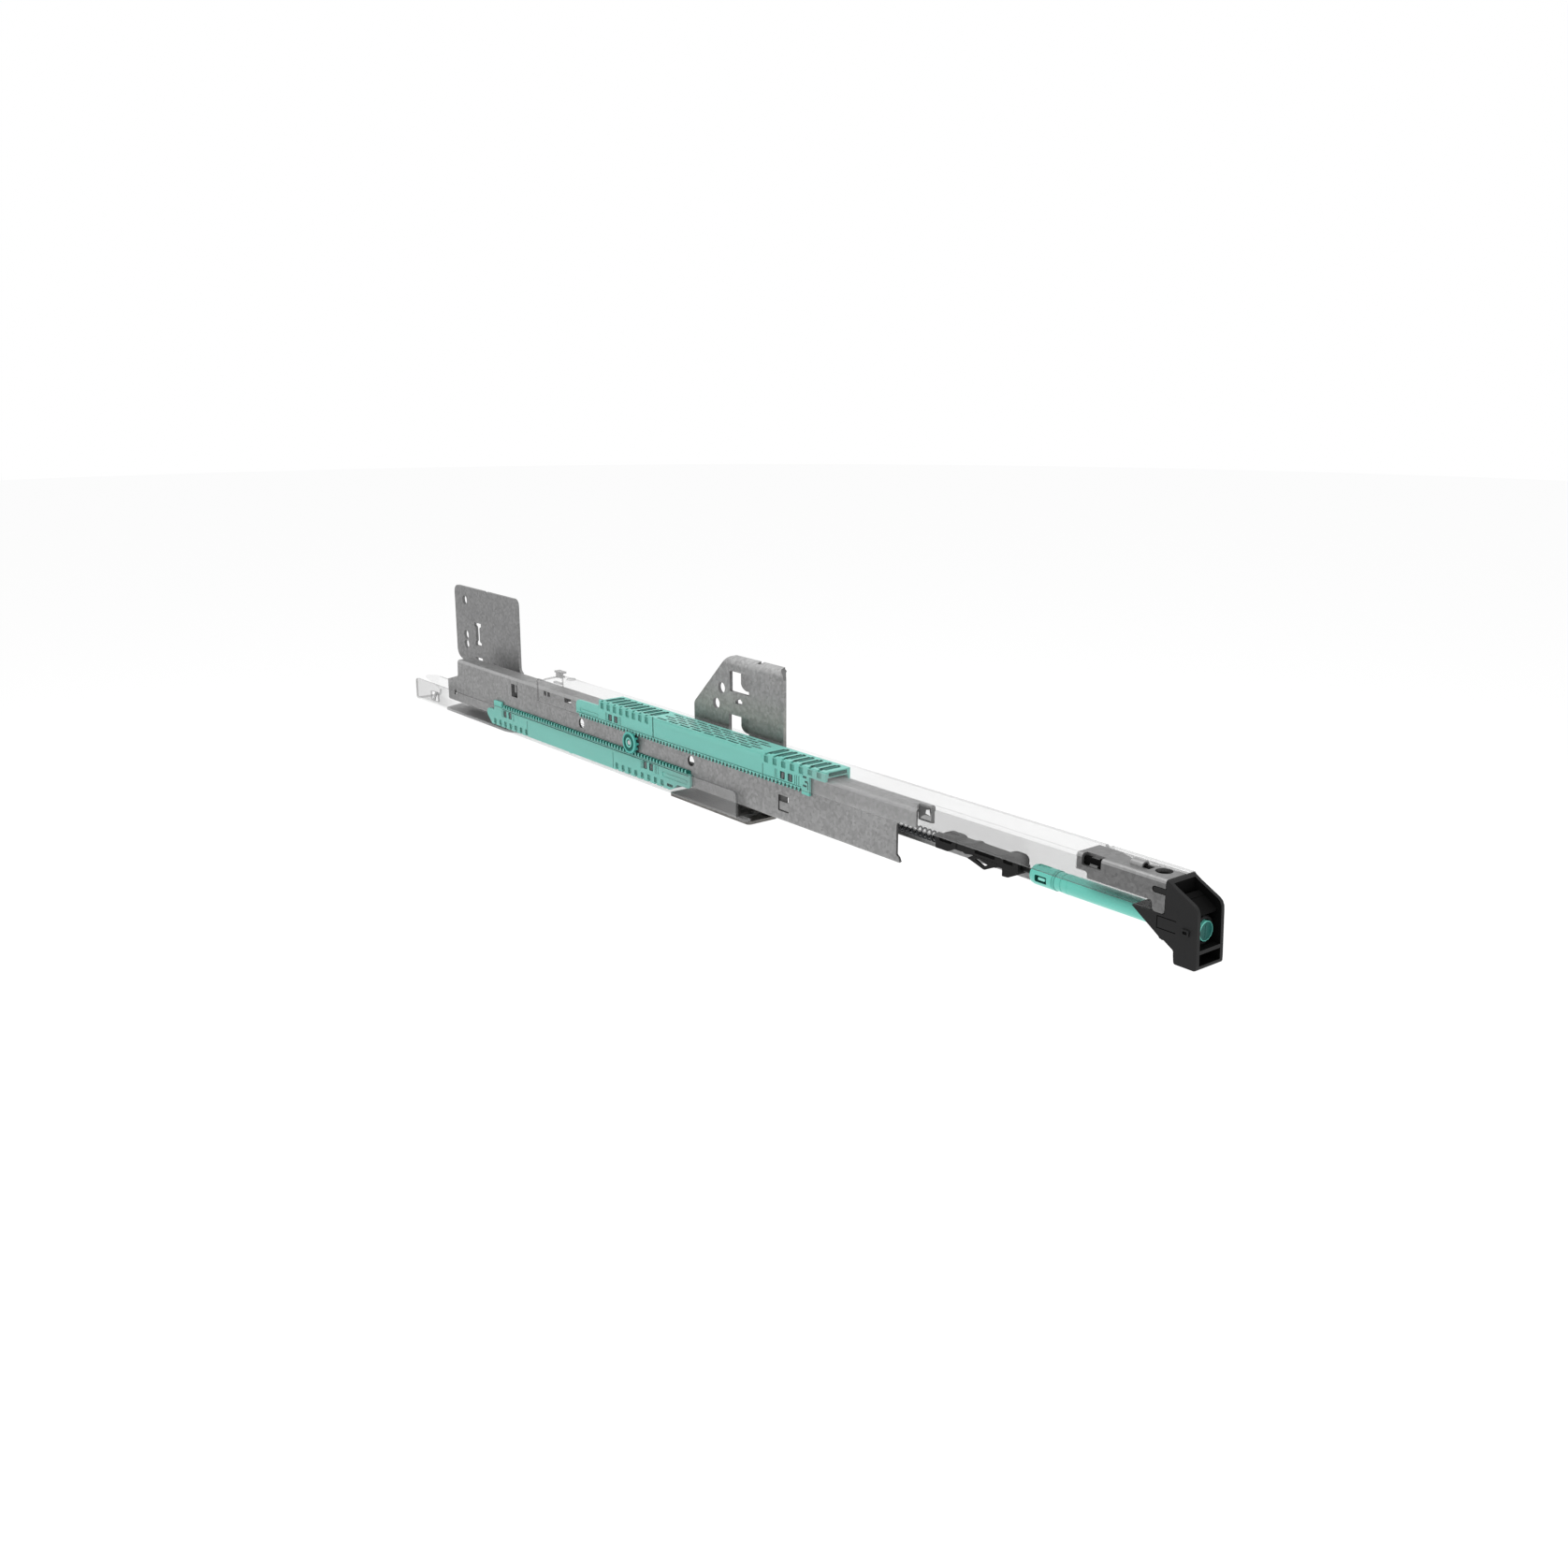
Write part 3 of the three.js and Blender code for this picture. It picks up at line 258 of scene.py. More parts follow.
# bright bend colour for the see-through rails: painted highlight
C_HIGHLIGHT_BEND = film("see_through_painted_highlight_bend_cabinet", [(0, 0.2), (40, 0.2), (62, 0.05), (300, 0.05), (377, 0.2)], [(0, 0.9), (377, 0.9)], metallic=0.2, rough=(0.3, 0.4))
D_HIGHLIGHT_BEND = film("see_through_painted_highlight_bend_drawer", [(170, 0.10), (205, 0.03), (440, 0.03), (480, 0.22), (620, 0.22), (664, 0.20)], [(170, 0.5), (664, 0.45)], metallic=0.2, rough=(0.3, 0.4))
# darker line colour for the drawer rail's top bends: painted shade
D_SHADE_LINE = film("see_through_painted_shade_line_drawer", [(170, 0.30), (205, 0.12), (440, 0.10), (480, 0.30), (664, 0.30)], [(170, 0.22), (664, 0.22)])
G_GLINT = steel("see_through_glint", (0.80,) * 3, (0.92,) * 3, metallic=0.2, alpha=0.8)
# brighter steel for the top bend of the middle rail: painted highlight
BEND_HIGHLIGHT_STEEL = steel("galvanised_steel_painted_highlight_bend", (0.30,) * 3, (0.42,) * 3, metallic=0.85, rough=(0.34, 0.46))
STEEL_FOOT = steel("galvanised_steel_foot", (0.205,) * 3, (0.345,) * 3)
# brighter connector steel for its front bend and edges: painted highlight
CONN_HIGHLIGHT_EDGE = steel("galvanised_steel_connector_painted_highlight", (0.23,) * 3, (0.33,) * 3, metallic=0.85, rough=(0.34, 0.46))
CONN = steel("galvanised_steel_connector", (0.088,) * 3, (0.182,) * 3)
# the connector's top face in its own lighter tone: painted light
CONN_LIT_TOP = steel("galvanised_steel_connector_painted_light_top", (0.150,) * 3, (0.235,) * 3)
TEAL = plastic("teal_plastic", (0.115, 0.425, 0.360), (0.140, 0.475, 0.408))
PINION = plastic("teal_pinion", (0.060, 0.350, 0.300), (0.080, 0.400, 0.350), spec=0.25)
# brighter teal for bevels: painted highlight
TEAL_HIGHLIGHT_EDGE = plastic("teal_plastic_painted_highlight", (0.250, 0.640, 0.555), (0.290, 0.700, 0.610), rough=(0.28, 0.38))
# dark teal for recesses, slots and tooth flanks: painted shade
TEAL_RECESS_SHADE = plastic("teal_plastic_painted_recess_shade", (0.014, 0.100, 0.082), (0.020, 0.125, 0.102), rough=(0.5, 0.6), spec=0.06)
# mid-dark teal for the shallow pockets along the edges: painted shade
TEAL_POCKET_SHADE = plastic("teal_plastic_painted_pocket_shade", (0.070, 0.300, 0.250), (0.090, 0.340, 0.288), spec=0.2)
ROLLER = plastic("teal_roller", (0.016, 0.110, 0.092), (0.026, 0.140, 0.118), rough=(0.5, 0.6), spec=0.08)
DAMPER = plastic("teal_damper", (0.110, 0.490, 0.405), (0.135, 0.545, 0.455), rough=(0.24, 0.32), spec=0.5, grain_strength=0.03)
# brighter damper teal: painted highlight
DAMPER_HIGHLIGHT = plastic("teal_damper_painted_highlight", (0.220, 0.660, 0.560), (0.260, 0.720, 0.620), rough=(0.22, 0.3))
# dark damper teal for the recessed end face: painted shade
DAMPER_RECESS_SHADE = plastic("teal_damper_painted_recess_shade", (0.008, 0.082, 0.072), (0.013, 0.100, 0.088), rough=(0.34, 0.44), spec=0.2)
BLACK = plastic("black_plastic", (0.0100, 0.0100, 0.0102), (0.0140, 0.0140, 0.0143), rough=(0.46, 0.6), spec=0.15, grain=1300.0, grain_strength=0.16)
# lighter black for bevels: painted highlight
BLACK_HIGHLIGHT_EDGE = plastic("black_plastic_painted_highlight", (0.020,) * 3, (0.030,) * 3, rough=(0.36, 0.46), spec=0.35)
# darkest black for cavities, pockets and cut faces: painted shade
BLACK_SHADE_INSIDE = plastic("black_plastic_painted_shade_inside", (0.0022,) * 3, (0.0036,) * 3, rough=(0.6, 0.7), spec=0.05)
BLACK_SLIDE = plastic("black_slide_plastic", (0.0045,) * 3, (0.0070,) * 3, rough=(0.36, 0.48), spec=0.15, grain=1100.0, grain_strength=0.08)
BRIGHT = turned("bright_steel", (0.56, 0.56, 0.57))
WIRE = turned("spring_steel", (0.040, 0.042, 0.045), rough=0.34)
PIN_STEEL = turned("side_roller_steel", (0.14, 0.155, 0.155), rough=0.42)

# ------------------------------------------------------------------ solids
try:
    _probe = bpy.data.objects.new("probe", bpy.data.meshes.new("probe"))
    _pm = _probe.modifiers.new("b", "BOOLEAN")
    _pm.solver = "MANIFOLD"
    SOLVER = "MANIFOLD"
except Exception:
    SOLVER = "EXACT"
bpy.data.objects.remove(_probe)


HOLDERS = [bpy.data.materials.new("holder_%d" % i) for i in range(NSLOT)]


def as_object(bm, name="tmp"):
    bmesh.ops.recalc_face_normals(bm, faces=bm.faces)
    me = bpy.data.meshes.new(name)
    bm.to_mesh(me)
    bm.free()
    for m in HOLDERS:
        me.materials.append(m)
    o = bpy.data.objects.new(name, me)
    SCENE.collection.objects.link(o)
    return o


def prism(axis, pts, lo, hi, mi=0, mats=None, cap=None):
    """A closed outline swept along an axis. x: points are (y, z); y: (x, z); z: (x, y)."""
    def at(p, t):
        a, b = p
        return (t, a, b) if axis == "x" else (a, t, b) if axis == "y" else (a, b, t)
    bm = bmesh.new()
    A = [bm.verts.new(at(p, lo)) for p in pts]
    B = [bm.verts.new(at(p, hi)) for p in pts]
    n = len(pts)
    for i in range(n):
        j = (i + 1) % n
        f = bm.faces.new((A[i], A[j], B[j], B[i]))
        f.material_index = mats[i] if mats else mi
    for loop in (A, B[::-1]):
        f = bm.faces.new(loop)
        f.material_index = mi if cap is None else cap
    return as_object(bm)


def box(x0, x1, y0, y1, z0, z1, mi=0):
    return prism("z", [(x0, y0), (x1, y0), (x1, y1), (x0, y1)], z0, z1, mi)


def rbox(axis, a0, a1, b0, b1, r, lo, hi, mi=0, n=4):
    """A block whose outline across the axis has round corners."""
    pts = []
    for cx, cy, t0 in ((a1 - r, b0 + r, -90), (a1 - r, b1 - r, 0), (a0 + r, b1 - r, 90), (a0 + r, b0 + r, 180)):
        pts += arc(cx, cy, r, t0, t0 + 90, n)
    return prism(axis, pts, lo, hi, mi)


def arc(a, b, r, t0, t1, n=8):
    return [(a + r * math.cos(math.radians(t0 + (t1 - t0) * i / n)), b + r * math.sin(math.radians(t0 + (t1 - t0) * i / n))) for i in range(n + 1)]


def disc(axis, c0, c1, r, lo, hi, n=40, mi=0):
    return prism(axis, [(c0 + r * math.cos(2 * math.pi * i / n), c1 + r * math.sin(2 * math.pi * i / n)) for i in range(n)], lo, hi, mi)


def turn(axis, c0, c1, profile, n=48, mi=0, mats=None):
    """A closed (along, radius) profile turned round an axis."""
    bm = bmesh.new()
    rings = []
    for s, r in profile:
        ring = []
        if r < 1e-6:
            p = (s, c0, c1) if axis == "x" else (c0, s, c1) if axis == "y" else (c0, c1, s)
            ring = [bm.verts.new(p)] * n
        else:
            for i in range(n):
                t = 2 * math.pi * i / n
                u, v = c0 + r * math.cos(t), c1 + r * math.sin(t)
                p = (s, u, v) if axis == "x" else (u, s, v) if axis == "y" else (u, v, s)
                ring.append(bm.verts.new(p))
        rings.append(ring)
    m = len(profile)
    for k in range(m):
        a, b = rings[k], rings[(k + 1) % m]
        if a[0] is a[1] and b[0] is b[1]:
            continue
        for i in range(n):
            j = (i + 1) % n
            vs = []
            for v in (a[i], a[j], b[j], b[i]):
                if v not in vs:
                    vs.append(v)
            f = bm.faces.new(vs)
            f.material_index = mats[k] if mats else mi
    return as_object(bm)


def apply(o):
    dg = bpy.context.evaluated_depsgraph_get()
    me = bpy.data.meshes.new_from_object(o.evaluated_get(dg), preserve_all_data_layers=True, depsgraph=dg)
    old = o.data
    o.modifiers.clear()
    o.data = me
    if old.users == 0:
        bpy.data.meshes.remove(old)
    return o


def combine(base, *ops):
    """base with ("-", tool) cut away and ("+", tool) joined, in order."""
    for sign, tool in ops:
        m = base.modifiers.new("b", "BOOLEAN")
        m.operation = "DIFFERENCE" if sign == "-" else "UNION"
        m.object = tool
        m.solver = SOLVER
    bpy.context.view_layer.update()
    apply(base)
    for _, tool in ops:
        me = tool.data
        bpy.data.objects.remove(tool)
        if me.users == 0:
            bpy.data.meshes.remove(me)
    return base


def cut(base, *tools):
    return combine(base, *[("-", t) for t in tools])


def join(base, *tools):
    return combine(base, *[("+", t) for t in tools])


def finish_mesh(o, mats, bevel=0.2, segs=2, bevel_mat=-1, angle=32.0, sharp=42.0, keep=()):
    bm = bmesh.new()
    bm.from_mesh(o.data)
    bmesh.ops.remove_doubles(bm, verts=bm.verts, dist=2e-4)
    bmesh.ops.dissolve_degenerate(bm, dist=1e-4, edges=bm.edges)
    bmesh.ops.dissolve_limit(bm, angle_limit=math.radians(0.6), use_dissolve_boundaries=False, verts=bm.verts, edges=bm.edges, delimit={"MATERIAL"})
    bmesh.ops.recalc_face_normals(bm, faces=bm.faces)
    bm.transform(TO_ROW)
    bm.to_mesh(o.data)
    bm.free()
    for i, m in enumerate(mats):
        o.data.materials[i] = m
    for _ in range(NSLOT - len(mats)):
        o.data.materials.pop()
    if bevel:
        bv = o.modifiers.new("bevel", "BEVEL")
        bv.width = bevel / 1000
        bv.segments = segs
        bv.limit_method = "ANGLE"
        bv.angle_limit = math.radians(angle)
        bv.use_clamp_overlap = True
        bv.material = bevel_mat
        bv.miter_outer = "MITER_SHARP"
        bpy.context.view_layer.update()
        apply(o)
    me = o.data
    for p in me.polygons:
        p.use_smooth = True
    bm = bmesh.new()
    bm.from_mesh(me)
    lim = math.radians(sharp)
    for e in bm.edges:
        e.smooth = len(e.link_faces) == 2 and e.calc_face_angle(0.0) < lim
    bm.to_mesh(me)
    bm.free()
    wn = o.modifiers.new("wn", "WEIGHTED_NORMAL")
    wn.keep_sharp = True
    wn.weight = 50
    wn.mode = "FACE_AREA"
    bpy.context.view_layer.update()
    apply(o)
    return o


MADE = {}


def piece(o, node, body, slot, mats, others=(), **kw):
    o.name = node + "_fine"
    o.data.name = o.name
    finish_mesh(o, mats, **kw)
    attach(o, body)
    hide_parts(node, *others)
    MADE[node] = o
    return o


GHOST_C = [C_FRONT, G_INNER, G_SHADE_EDGE, C_FLAT, G_BACK, C_HIGHLIGHT_BEND, G_SHADE_FILL, G_HOOK, G_LINE, G_GLINT]
GHOST_D = [D_FRONT, G_INNER, G_SHADE_EDGE, D_LIT_TOP, G_BACK, D_HIGHLIGHT_BEND, G_SHADE_FILL, G_HOOK, D_SHADE_LINE, G_GLINT]
PLATE = [STEEL, EDGE_HIGHLIGHT_STEEL, SHADE_STEEL]


def tagged(items):
    """[(points, edge material)] to a flat outline and one material for the edge that starts at each point."""
    pts, mats = [], []
    for ps, m, after in items:
        for i, p in enumerate(ps):
            pts.append(p)
            mats.append(m if i < len(ps) - 1 else after)
    return pts, mats


# ------------------------------------------------------------------ cabinet rail
def cabinet_rail():
    y0, y1, t, R, r = -26.6, -7.0, 1.5, 2.0, 0.6
    # the outer bottom bends take the painted-highlight bend colour
    pts, mats = tagged([
        (arc(y0 + R, R, R, 180, 270), 5, 3),
        (arc(y1 - R, R, R, 270, 360), 5, 4),
        ([(y1, 13.9)], 2, 2),
        ([(y1 - t, 13.9)], 1, 1),
        (arc(y1 - t - r, t + r, r, 360, 270, 5), 1, 1),
        (arc(y0 + t + r, t + r, r, 270, 180, 5), 1, 1),
        ([(y0 + t, 15.4)], 2, 2),
        ([(y0, 15.4)], 0, 0),
    ])
    o = prism("x", pts, 0, 377, mats=mats, cap=2)
    o = combine(
        o,
        ("+", prism("y", [(-21, 9.8), (4, 3.5), (4, 13.9), (-5, 13.9), (-20, 11.6)], y1 - t, y1, mi=4)),
        ("-", rbox("y", 22.0, 32.4, 3.2, 9.9, 0.5, y0 - 1, y0 + t + 0.2, 2)),
        ("+", prism("y", [(23.8, 3.0), (26.2, 3.0), (29.2, 8.0), (31.0, 10.1), (28.4, 10.1), (26.0, 6.6)], y0 + 0.35, y0 + t - 0.15, mi=7)),
        ("-", prism("y", [(378, 12.8), (378, 16.4), (374.4, 16.4)] + arc(374.5, 12.9, 2.5, 90, 0, 8), y0 - 1, y0 + t + 0.2, 2)),
        ("-", prism("y", [(-1, 12.9), (-1, 16.4), (2.4, 16.4)] + arc(2.5, 12.9, 2.5, 90, 180, 6), y0 - 1, y0 + t + 0.2, 2)),
        ("-", box(300.5, 309.5, y1 - t - 0.5, y1 + 0.5, 10.0, 20, 2)),
        ("+", prism("z", [(376, y0 + 4.4), (376, y0 + 0.6), (382.5, y0 + 0.6), (384.2, y0 + 2.2), (384.2, y0 + 4.4)], 0.0, t, mi=3)),
    )
    piece(o, "cabinet_rail", "cabinet", "see_through_steel", GHOST_C, bevel=0.22, segs=1, bevel_mat=2)


# ------------------------------------------------------------------ rear bracket
def rear_bracket():
    T = 2.0
    outline = ([(31, -1.8), (107.5, -1.8), (107.5, 33)] + arc(109.3, 36.8, 4.2, 250, 182, 5) + arc(100.8, 77.9, 4.5, 0, 90, 9)
               + [(64.2, 82.4), (63.6, 81.5), (61.4, 81.5), (60.8, 82.4)] + arc(23.9, 77.4, 5, 90, 180, 9) + arc(25.9, 37.6, 7, 180, 255, 8) + [(31, 28)])
    o = prism("y", outline, -T, 0)
    foot = prism("z", [(30, -5.5), (35.9, -21.6), (117.6, -21.6), (121.5, -20.6), (124.5, -18.2), (129.5, -15.9), (134.5, -15.0),
                       (136.5, -13.5), (136.5, -9.5), (133.5, -7.0), (116, -7.0), (110.5, -4.5), (107.5, -2.0), (107.5, 0), (31, 0), (31, -2)], -2.1, -0.3, 3)
    ops = [("+", foot)]
    for z in (73.1, 48.6, 41.9):
        ops.append(("-", disc("y", 33.1, z, 3.15, -T - 1, 1, 48, 2)))
    slot = [(45.2, 58.9), (45.2, 56.7), (46.4, 56.2), (47.2, 55.2), (47.2, 46.6), (46.6, 45.7), (45.8, 45.2), (45.8, 43.0), (54.6, 43.0), (54.6, 45.2),
            (53.2, 45.6), (52.2, 46.6), (52.2, 55.2), (53.0, 56.3), (54.6, 56.7), (54.6, 58.9)]
    ops += [("-", prism("y", slot, -T - 1, 1, 2)), ("-", rbox("y", 45.5, 55.0, 30.5, 34.6, 0.4, -T - 1, 1, 2)),
            ("-", prism("y", [(70.3, 31.5), (73.5, 31.5), (71.9, 35.0)], -T - 1, 1, 2)),
            # stiffening swage along the bend to the foot
            ("+", prism("x", [(-T - 0.05, 14.0), (-T - 0.55, 15.0), (-T - 0.55, 22.0), (-T - 0.05, 23.0), (-T + 0.2, 18.5)], 40, 98))]
    o = combine(o, *ops)
    piece(o, "rear_bracket", "cabinet", "galvanised_steel", [STEEL_REAR, EDGE_HIGHLIGHT_STEEL, SHADE_STEEL, STEEL_FOOT], bevel=0.28, bevel_mat=1)


# ------------------------------------------------------------------ cabinet bracket
def cabinet_bracket():
    T, yp = 2.0, -5.0
    side = [(yp, -1.8), (0.0, -1.8), (0.0, 0.4), (yp + T, 0.4), (yp + T, 76.9), (yp + T + 0.25, 78.2), (yp + T + 0.9, 79.2), (-1.2, 79.9), (-0.1, 80.4),
            (0.0, 82.2), (-1.3, 81.9), (-2.6, 81.4), (-3.7, 80.7), (-4.5, 79.8), (-4.9, 78.8), (yp, 77.7)]
    o = prism("x", side, 309.9, 391.2)
    o = cut(
        o,
        prism("y", [(300, 49.5), (309.9, 49.5), (310.0, 50.2), (310.4, 51.1), (311.2, 52.0), (340.0, 80.7), (341.3, 81.5), (343.0, 82.0), (346.0, 82.6), (346, 90), (300, 90)], -8, 2, 2),
        prism("y", [(395, 75.4), (391.2, 75.4)] + arc(387.2, 76.2, 4, 0, 62, 8) + [(386.5, 81.3), (386.5, 90), (395, 90)], -8, 2, 2),
        box(384.2, 395, -8, 2, -3, 2.6, 2),
        rbox("y", 366.0, 368.6, 81.0, 92, 0.5, -3.0, 2, 2),
    )
    foot = prism("z", [(309.9, -4.6), (309.6, -21.1)] + arc(311.9, -21.2, 2.3, 180, 265, 5) + [(381.5, -23.6)] + arc(381.9, -21.3, 2.3, 275, 355, 5) + [(384.2, -4.6)], -2.1, -0.3)
    o = join(o, foot)
    o = cut(
        o,
        disc("y", 336.0, 63.1, 3.15, -8, 2, 48, 2),
        disc("y", 331.0, 53.4, 3.15, -8, 2, 48, 2),
        rbox("y", 343.8, 361.1, 62.5, 74.1, 0.7, -8, 2, 2),
        rbox("y", 342.8, 360.9, 37.0, 49.5, 0.7, -8, 2, 2),
        prism("y", [(348.8, 56.3), (354.9, 56.3), (354.9, 58.2)] + arc(352.4, 57.6, 2.0, 30, 150, 8) + [(348.8, 58.0)], -8, 2, 2),
    )
    def pad(z0, z1):
        face = prism("y", [(349.6, z1 - 0.6), (349.6, z0 + 4.6), (350.1, z0 + 3.5), (351.2, z0 + 2.4), (352.5, z0 + 1.7), (354.0, z0 + 1.2), (357.4, z0 + 1.0), (357.4, z1 - 0.6)], -1.6, 0)
        neck = prism("z", [(356.6, -1.6), (361.6, yp + 0.2), (361.6, yp + T - 0.2), (357.6, 0), (356.6, 0)], z0 + 1.6, z1 - 0.8)
        return join(face, neck)
    o = join(o, pad(62.5, 74.1), pad(38.6, 49.5))
    piece(o, "cabinet_bracket", "cabinet", "galvanised_steel", [BRACKET_STEEL_LIT, EDGE_HIGHLIGHT_STEEL, SHADE_STEEL], bevel=0.28, bevel_mat=1)


def activator():
    o = join(
        rbox("y", 301.2, 308.8, 4.0, 13.6, 0.8, -6.7, -4.4),
        box(302.6, 307.4, -15.8, -4.6, 10.6, 13.6),
        prism("y", [(303.0, 10.6), (307.0, 10.6), (307.0, 15.3), (306.7, 16.2), (306.0, 16.8), (304.0, 16.8), (303.3, 16.2), (303.0, 15.3)], -18.6, -14.2),
    )
    piece(o, "activator_finger", "cabinet", "black_plastic", [BLACK, BLACK_HIGHLIGHT_EDGE], bevel=0.25, bevel_mat=1)


# ------------------------------------------------------------------ middle rail
def middle_rail():
    y0, y1, z0, z1, t, lip, R, r = -23.2, -10.4, 7.1, 37.2, 1.3, 3.0, 1.6, 0.4
    sec = (arc(y0 + R, z0 + R, R, 180, 270) + arc(y1 - R, z0 + R, R, 270, 360) + [(y1, z0 + lip), (y1 - t, z0 + lip)]
           + arc(y1 - t - r, z0 + t + r, r, 360, 270, 4) + arc(y0 + t + r, z0 + t + r, r, 270, 180, 4) + arc(y0 + t + r, z1 - t - r, r, 180, 90, 4)
           + arc(y1 - t - r, z1 - t - r, r, 90, 0, 4) + [(y1 - t, z1 - lip), (y1, z1 - lip)] + arc(y1 - R, z1 - R, R, 0, 90) + arc(y0 + R, z1 - R, R, 90, 180))
    # the top front bend takes the brighter bend steel: painted highlight
    last = len(sec) - 9
    o = prism("x", sec, 43, 514, mats=[3 if last <= i < len(sec) - 1 else 0 for i in range(len(sec))], cap=2)
    X = 500.6
    yo, yi = y0 - 1, y0 + t + 0.5
    ops = [
        ("-", prism("y", [(30, 21.6), (43, 21.6), (56.6, 25.6), (57.4, 26.0), (57.8, 26.6), (58.5, 36), (58.5, 50), (30, 50)], -40, 10, 2)),
        ("-", prism("y", [(X, 0), (X, 7.0), (X + 1.4, 7.2), (X + 2.1, 7.8), (X + 2.4, 8.6), (X + 2.2, 9.5), (X + 1.6, 10.3), (X + 0.6, 10.9), (X, 11.6),
                          (X, 26.2), (X + 0.5, 27.4), (X + 1.6, 28.1), (530, 28.1), (530, 0)], -40, 10, 2)),
        ("-", rbox("y", 131.2, 138.9, 24.5, 33.0, 0.5, yo, yi, 2)),
        ("-", rbox("y", 172.4, 175.4, 32.6, 35.4, 0.4, yo, yi, 2)),
        ("-", rbox("y", 176.8, 179.8, 32.6, 35.4, 0.4, yo, yi, 2)),
        ("-", rbox("y", 197.2, 204.8, 32.4, 35.4, 0.4, yo, yi, 2)),
        ("-", disc("y", 216.2, 22.6, 3.05, yo, yi, 48, 2)),
        ("-", disc("y", 331.1, 22.7, 3.05, yo, yi, 48, 2)),
        ("-", disc("y", 272.7, 22.1, 1.85, yo, yi, 32, 2)),
        ("-", rbox("y", 409.4, 418.0, 12.4, 21.2, 0.5, yo, yi, 2)),
        ("-", prism("y", [(51.2, 12.0), (55.2, 12.0), (53.6, 16.4)], yo, yi, 2)),
        # the bottom flange is cut back diagonally at the front end
        ("-", prism("z", [(504, -21.4), (500.4, -21.4), (476.0, -9.0), (476.0, 1.0), (504, 1.0)], 0, 11, 2)),
        # tabs bent in from the rear edge of each window; most take the dark fill, painted shade
        ("+", box(130.4, 131.3, y0 + t - 0.3, y0 + t + 5.6, 24.3, 33.2, 2)),
        ("+", box(134.6, 135.9, y0 + 0.7, y0 + t, 27.6, 33.2, 0)),
        ("+", box(171.7, 172.5, y0 + t - 0.3, y0 + t + 3.0, 32.3, 35.5, 2)),
        ("+", box(176.0, 176.9, y0 + t - 0.3, y0 + t + 3.0, 32.3, 35.5, 2)),
        ("+", box(196.3, 197.3, y0 + t - 0.3, y0 + t + 5.6, 32.1, 35.5, 2)),
        ("+", rbox("y", 410.3, 418.2, 13.2, 17.7, 0.3, y0 + 0.12, y0 + t)),
        ("+", box(409.2, 415.9, y0 + 0.95, y0 + t, 17.4, 21.4, 2)),
    ]
    o = combine(o, *ops)
    # cut faces, ends and window walls take the dark fill as painted shade
    piece(o, "middle_rail", "middle", "galvanised_steel", [STEEL, EDGE_HIGHLIGHT_STEEL, G_SHADE_FILL, BEND_HIGHLIGHT_STEEL], bevel=0.22, bevel_mat=1)

    ax = turn("y", 272.7, 22.1, [(-26.2, 0), (-26.2, 1.05), (-26.0, 1.4), (-25.7, 1.5), (-21.6, 1.5), (-21.6, 2.8), (-21.4, 2.9), (-20.5, 2.9), (-20.2, 2.5), (-20.2, 0)], 40)
    piece(ax, "pinion_axle", "middle", "bright_steel", [BRIGHT], bevel=0)


# ------------------------------------------------------------------ gear and racks
MODULE, TEETH, PX, PZ = 1.0, 12, 272.7, 22.1
PITCH_R, RPITCH, BACK, ADD, DED = 6.0, math.pi, 0.34, 0.85, 1.2


def rack_edge(xa, xb, d):
    pitch_z = PZ - d * PITCH_R
    tip, rootz = pitch_z + d * ADD, pitch_z - d * DED
    k = math.tan(math.radians(20))
    half = RPITCH / 4 - BACK / 4
    out = []
    i0 = math.ceil((xa + 1.7 - PX) / RPITCH - 0.5)
    i1 = math.floor((xb - 1.7 - PX) / RPITCH - 0.5)
    for i in range(i0, i1 + 1):
        c = PX + (i + 0.5) * RPITCH
        out += [(c - half - k * DED, rootz), (c - half + k * ADD, tip), (c + half - k * ADD, tip), (c + half + k * DED, rootz)]
    return out, rootz, tip


def pinion():
    base = PITCH_R * math.cos(math.radians(20))
    def inv(R):
        f = math.acos(min(1.0, base / R))
        f0 = math.radians(20)
        return math.pi / (2 * TEETH) - BACK / 4 / PITCH_R + (math.tan(f0) - f0) - (math.tan(f) - f)
    radii = [(4.7, 0.088), (5.1, 0.108), (5.64, inv(5.64) - 0.006), (6.1, inv(6.1)), (6.5, inv(6.5)), (6.8, inv(6.8))]
    pts = []
    for i in range(TEETH):
        a = math.pi / 2 + i * 2 * math.pi / TEETH
        pts += [(PX + r * math.cos(a - h), PZ + r * math.sin(a - h)) for r, h in radii]
        pts += [(PX + r * math.cos(a + h), PZ + r * math.sin(a + h)) for r, h in reversed(radii)]
    gear = prism("y", pts, -25.09, -23.55)
    # flange with stepped rings: rim, groove, raised boss; the chamfers take the brighter teal as painted highlight,
    # the groove and bore the recess colour as painted shade
    flange = turn("y", PX, PZ, [(-25.05, 0), (-25.05, 6.5), (-26.05, 6.5), (-26.3, 6.25), (-26.3, 5.15), (-26.05, 4.95), (-26.05, 4.15), (-25.75, 3.95), (-25.75, 3.3),
                                (-26.25, 3.05), (-26.25, 2.05), (-26.0, 1.9), (-26.0, 0)], 64,
                  mats=[0, 0, 1, 0, 2, 2, 2, 2, 2, 1, 0, 2, 2, 2])
    o = join(gear, flange)
    o = cut(o, disc("y", PX, PZ, 1.56, -30, -20, 40, 2))
    piece(o, "sync_pinion", "pinion", "teal_plastic", [PINION, TEAL, TEAL_RECESS_SHADE], bevel=0.09, bevel_mat=1, segs=1)


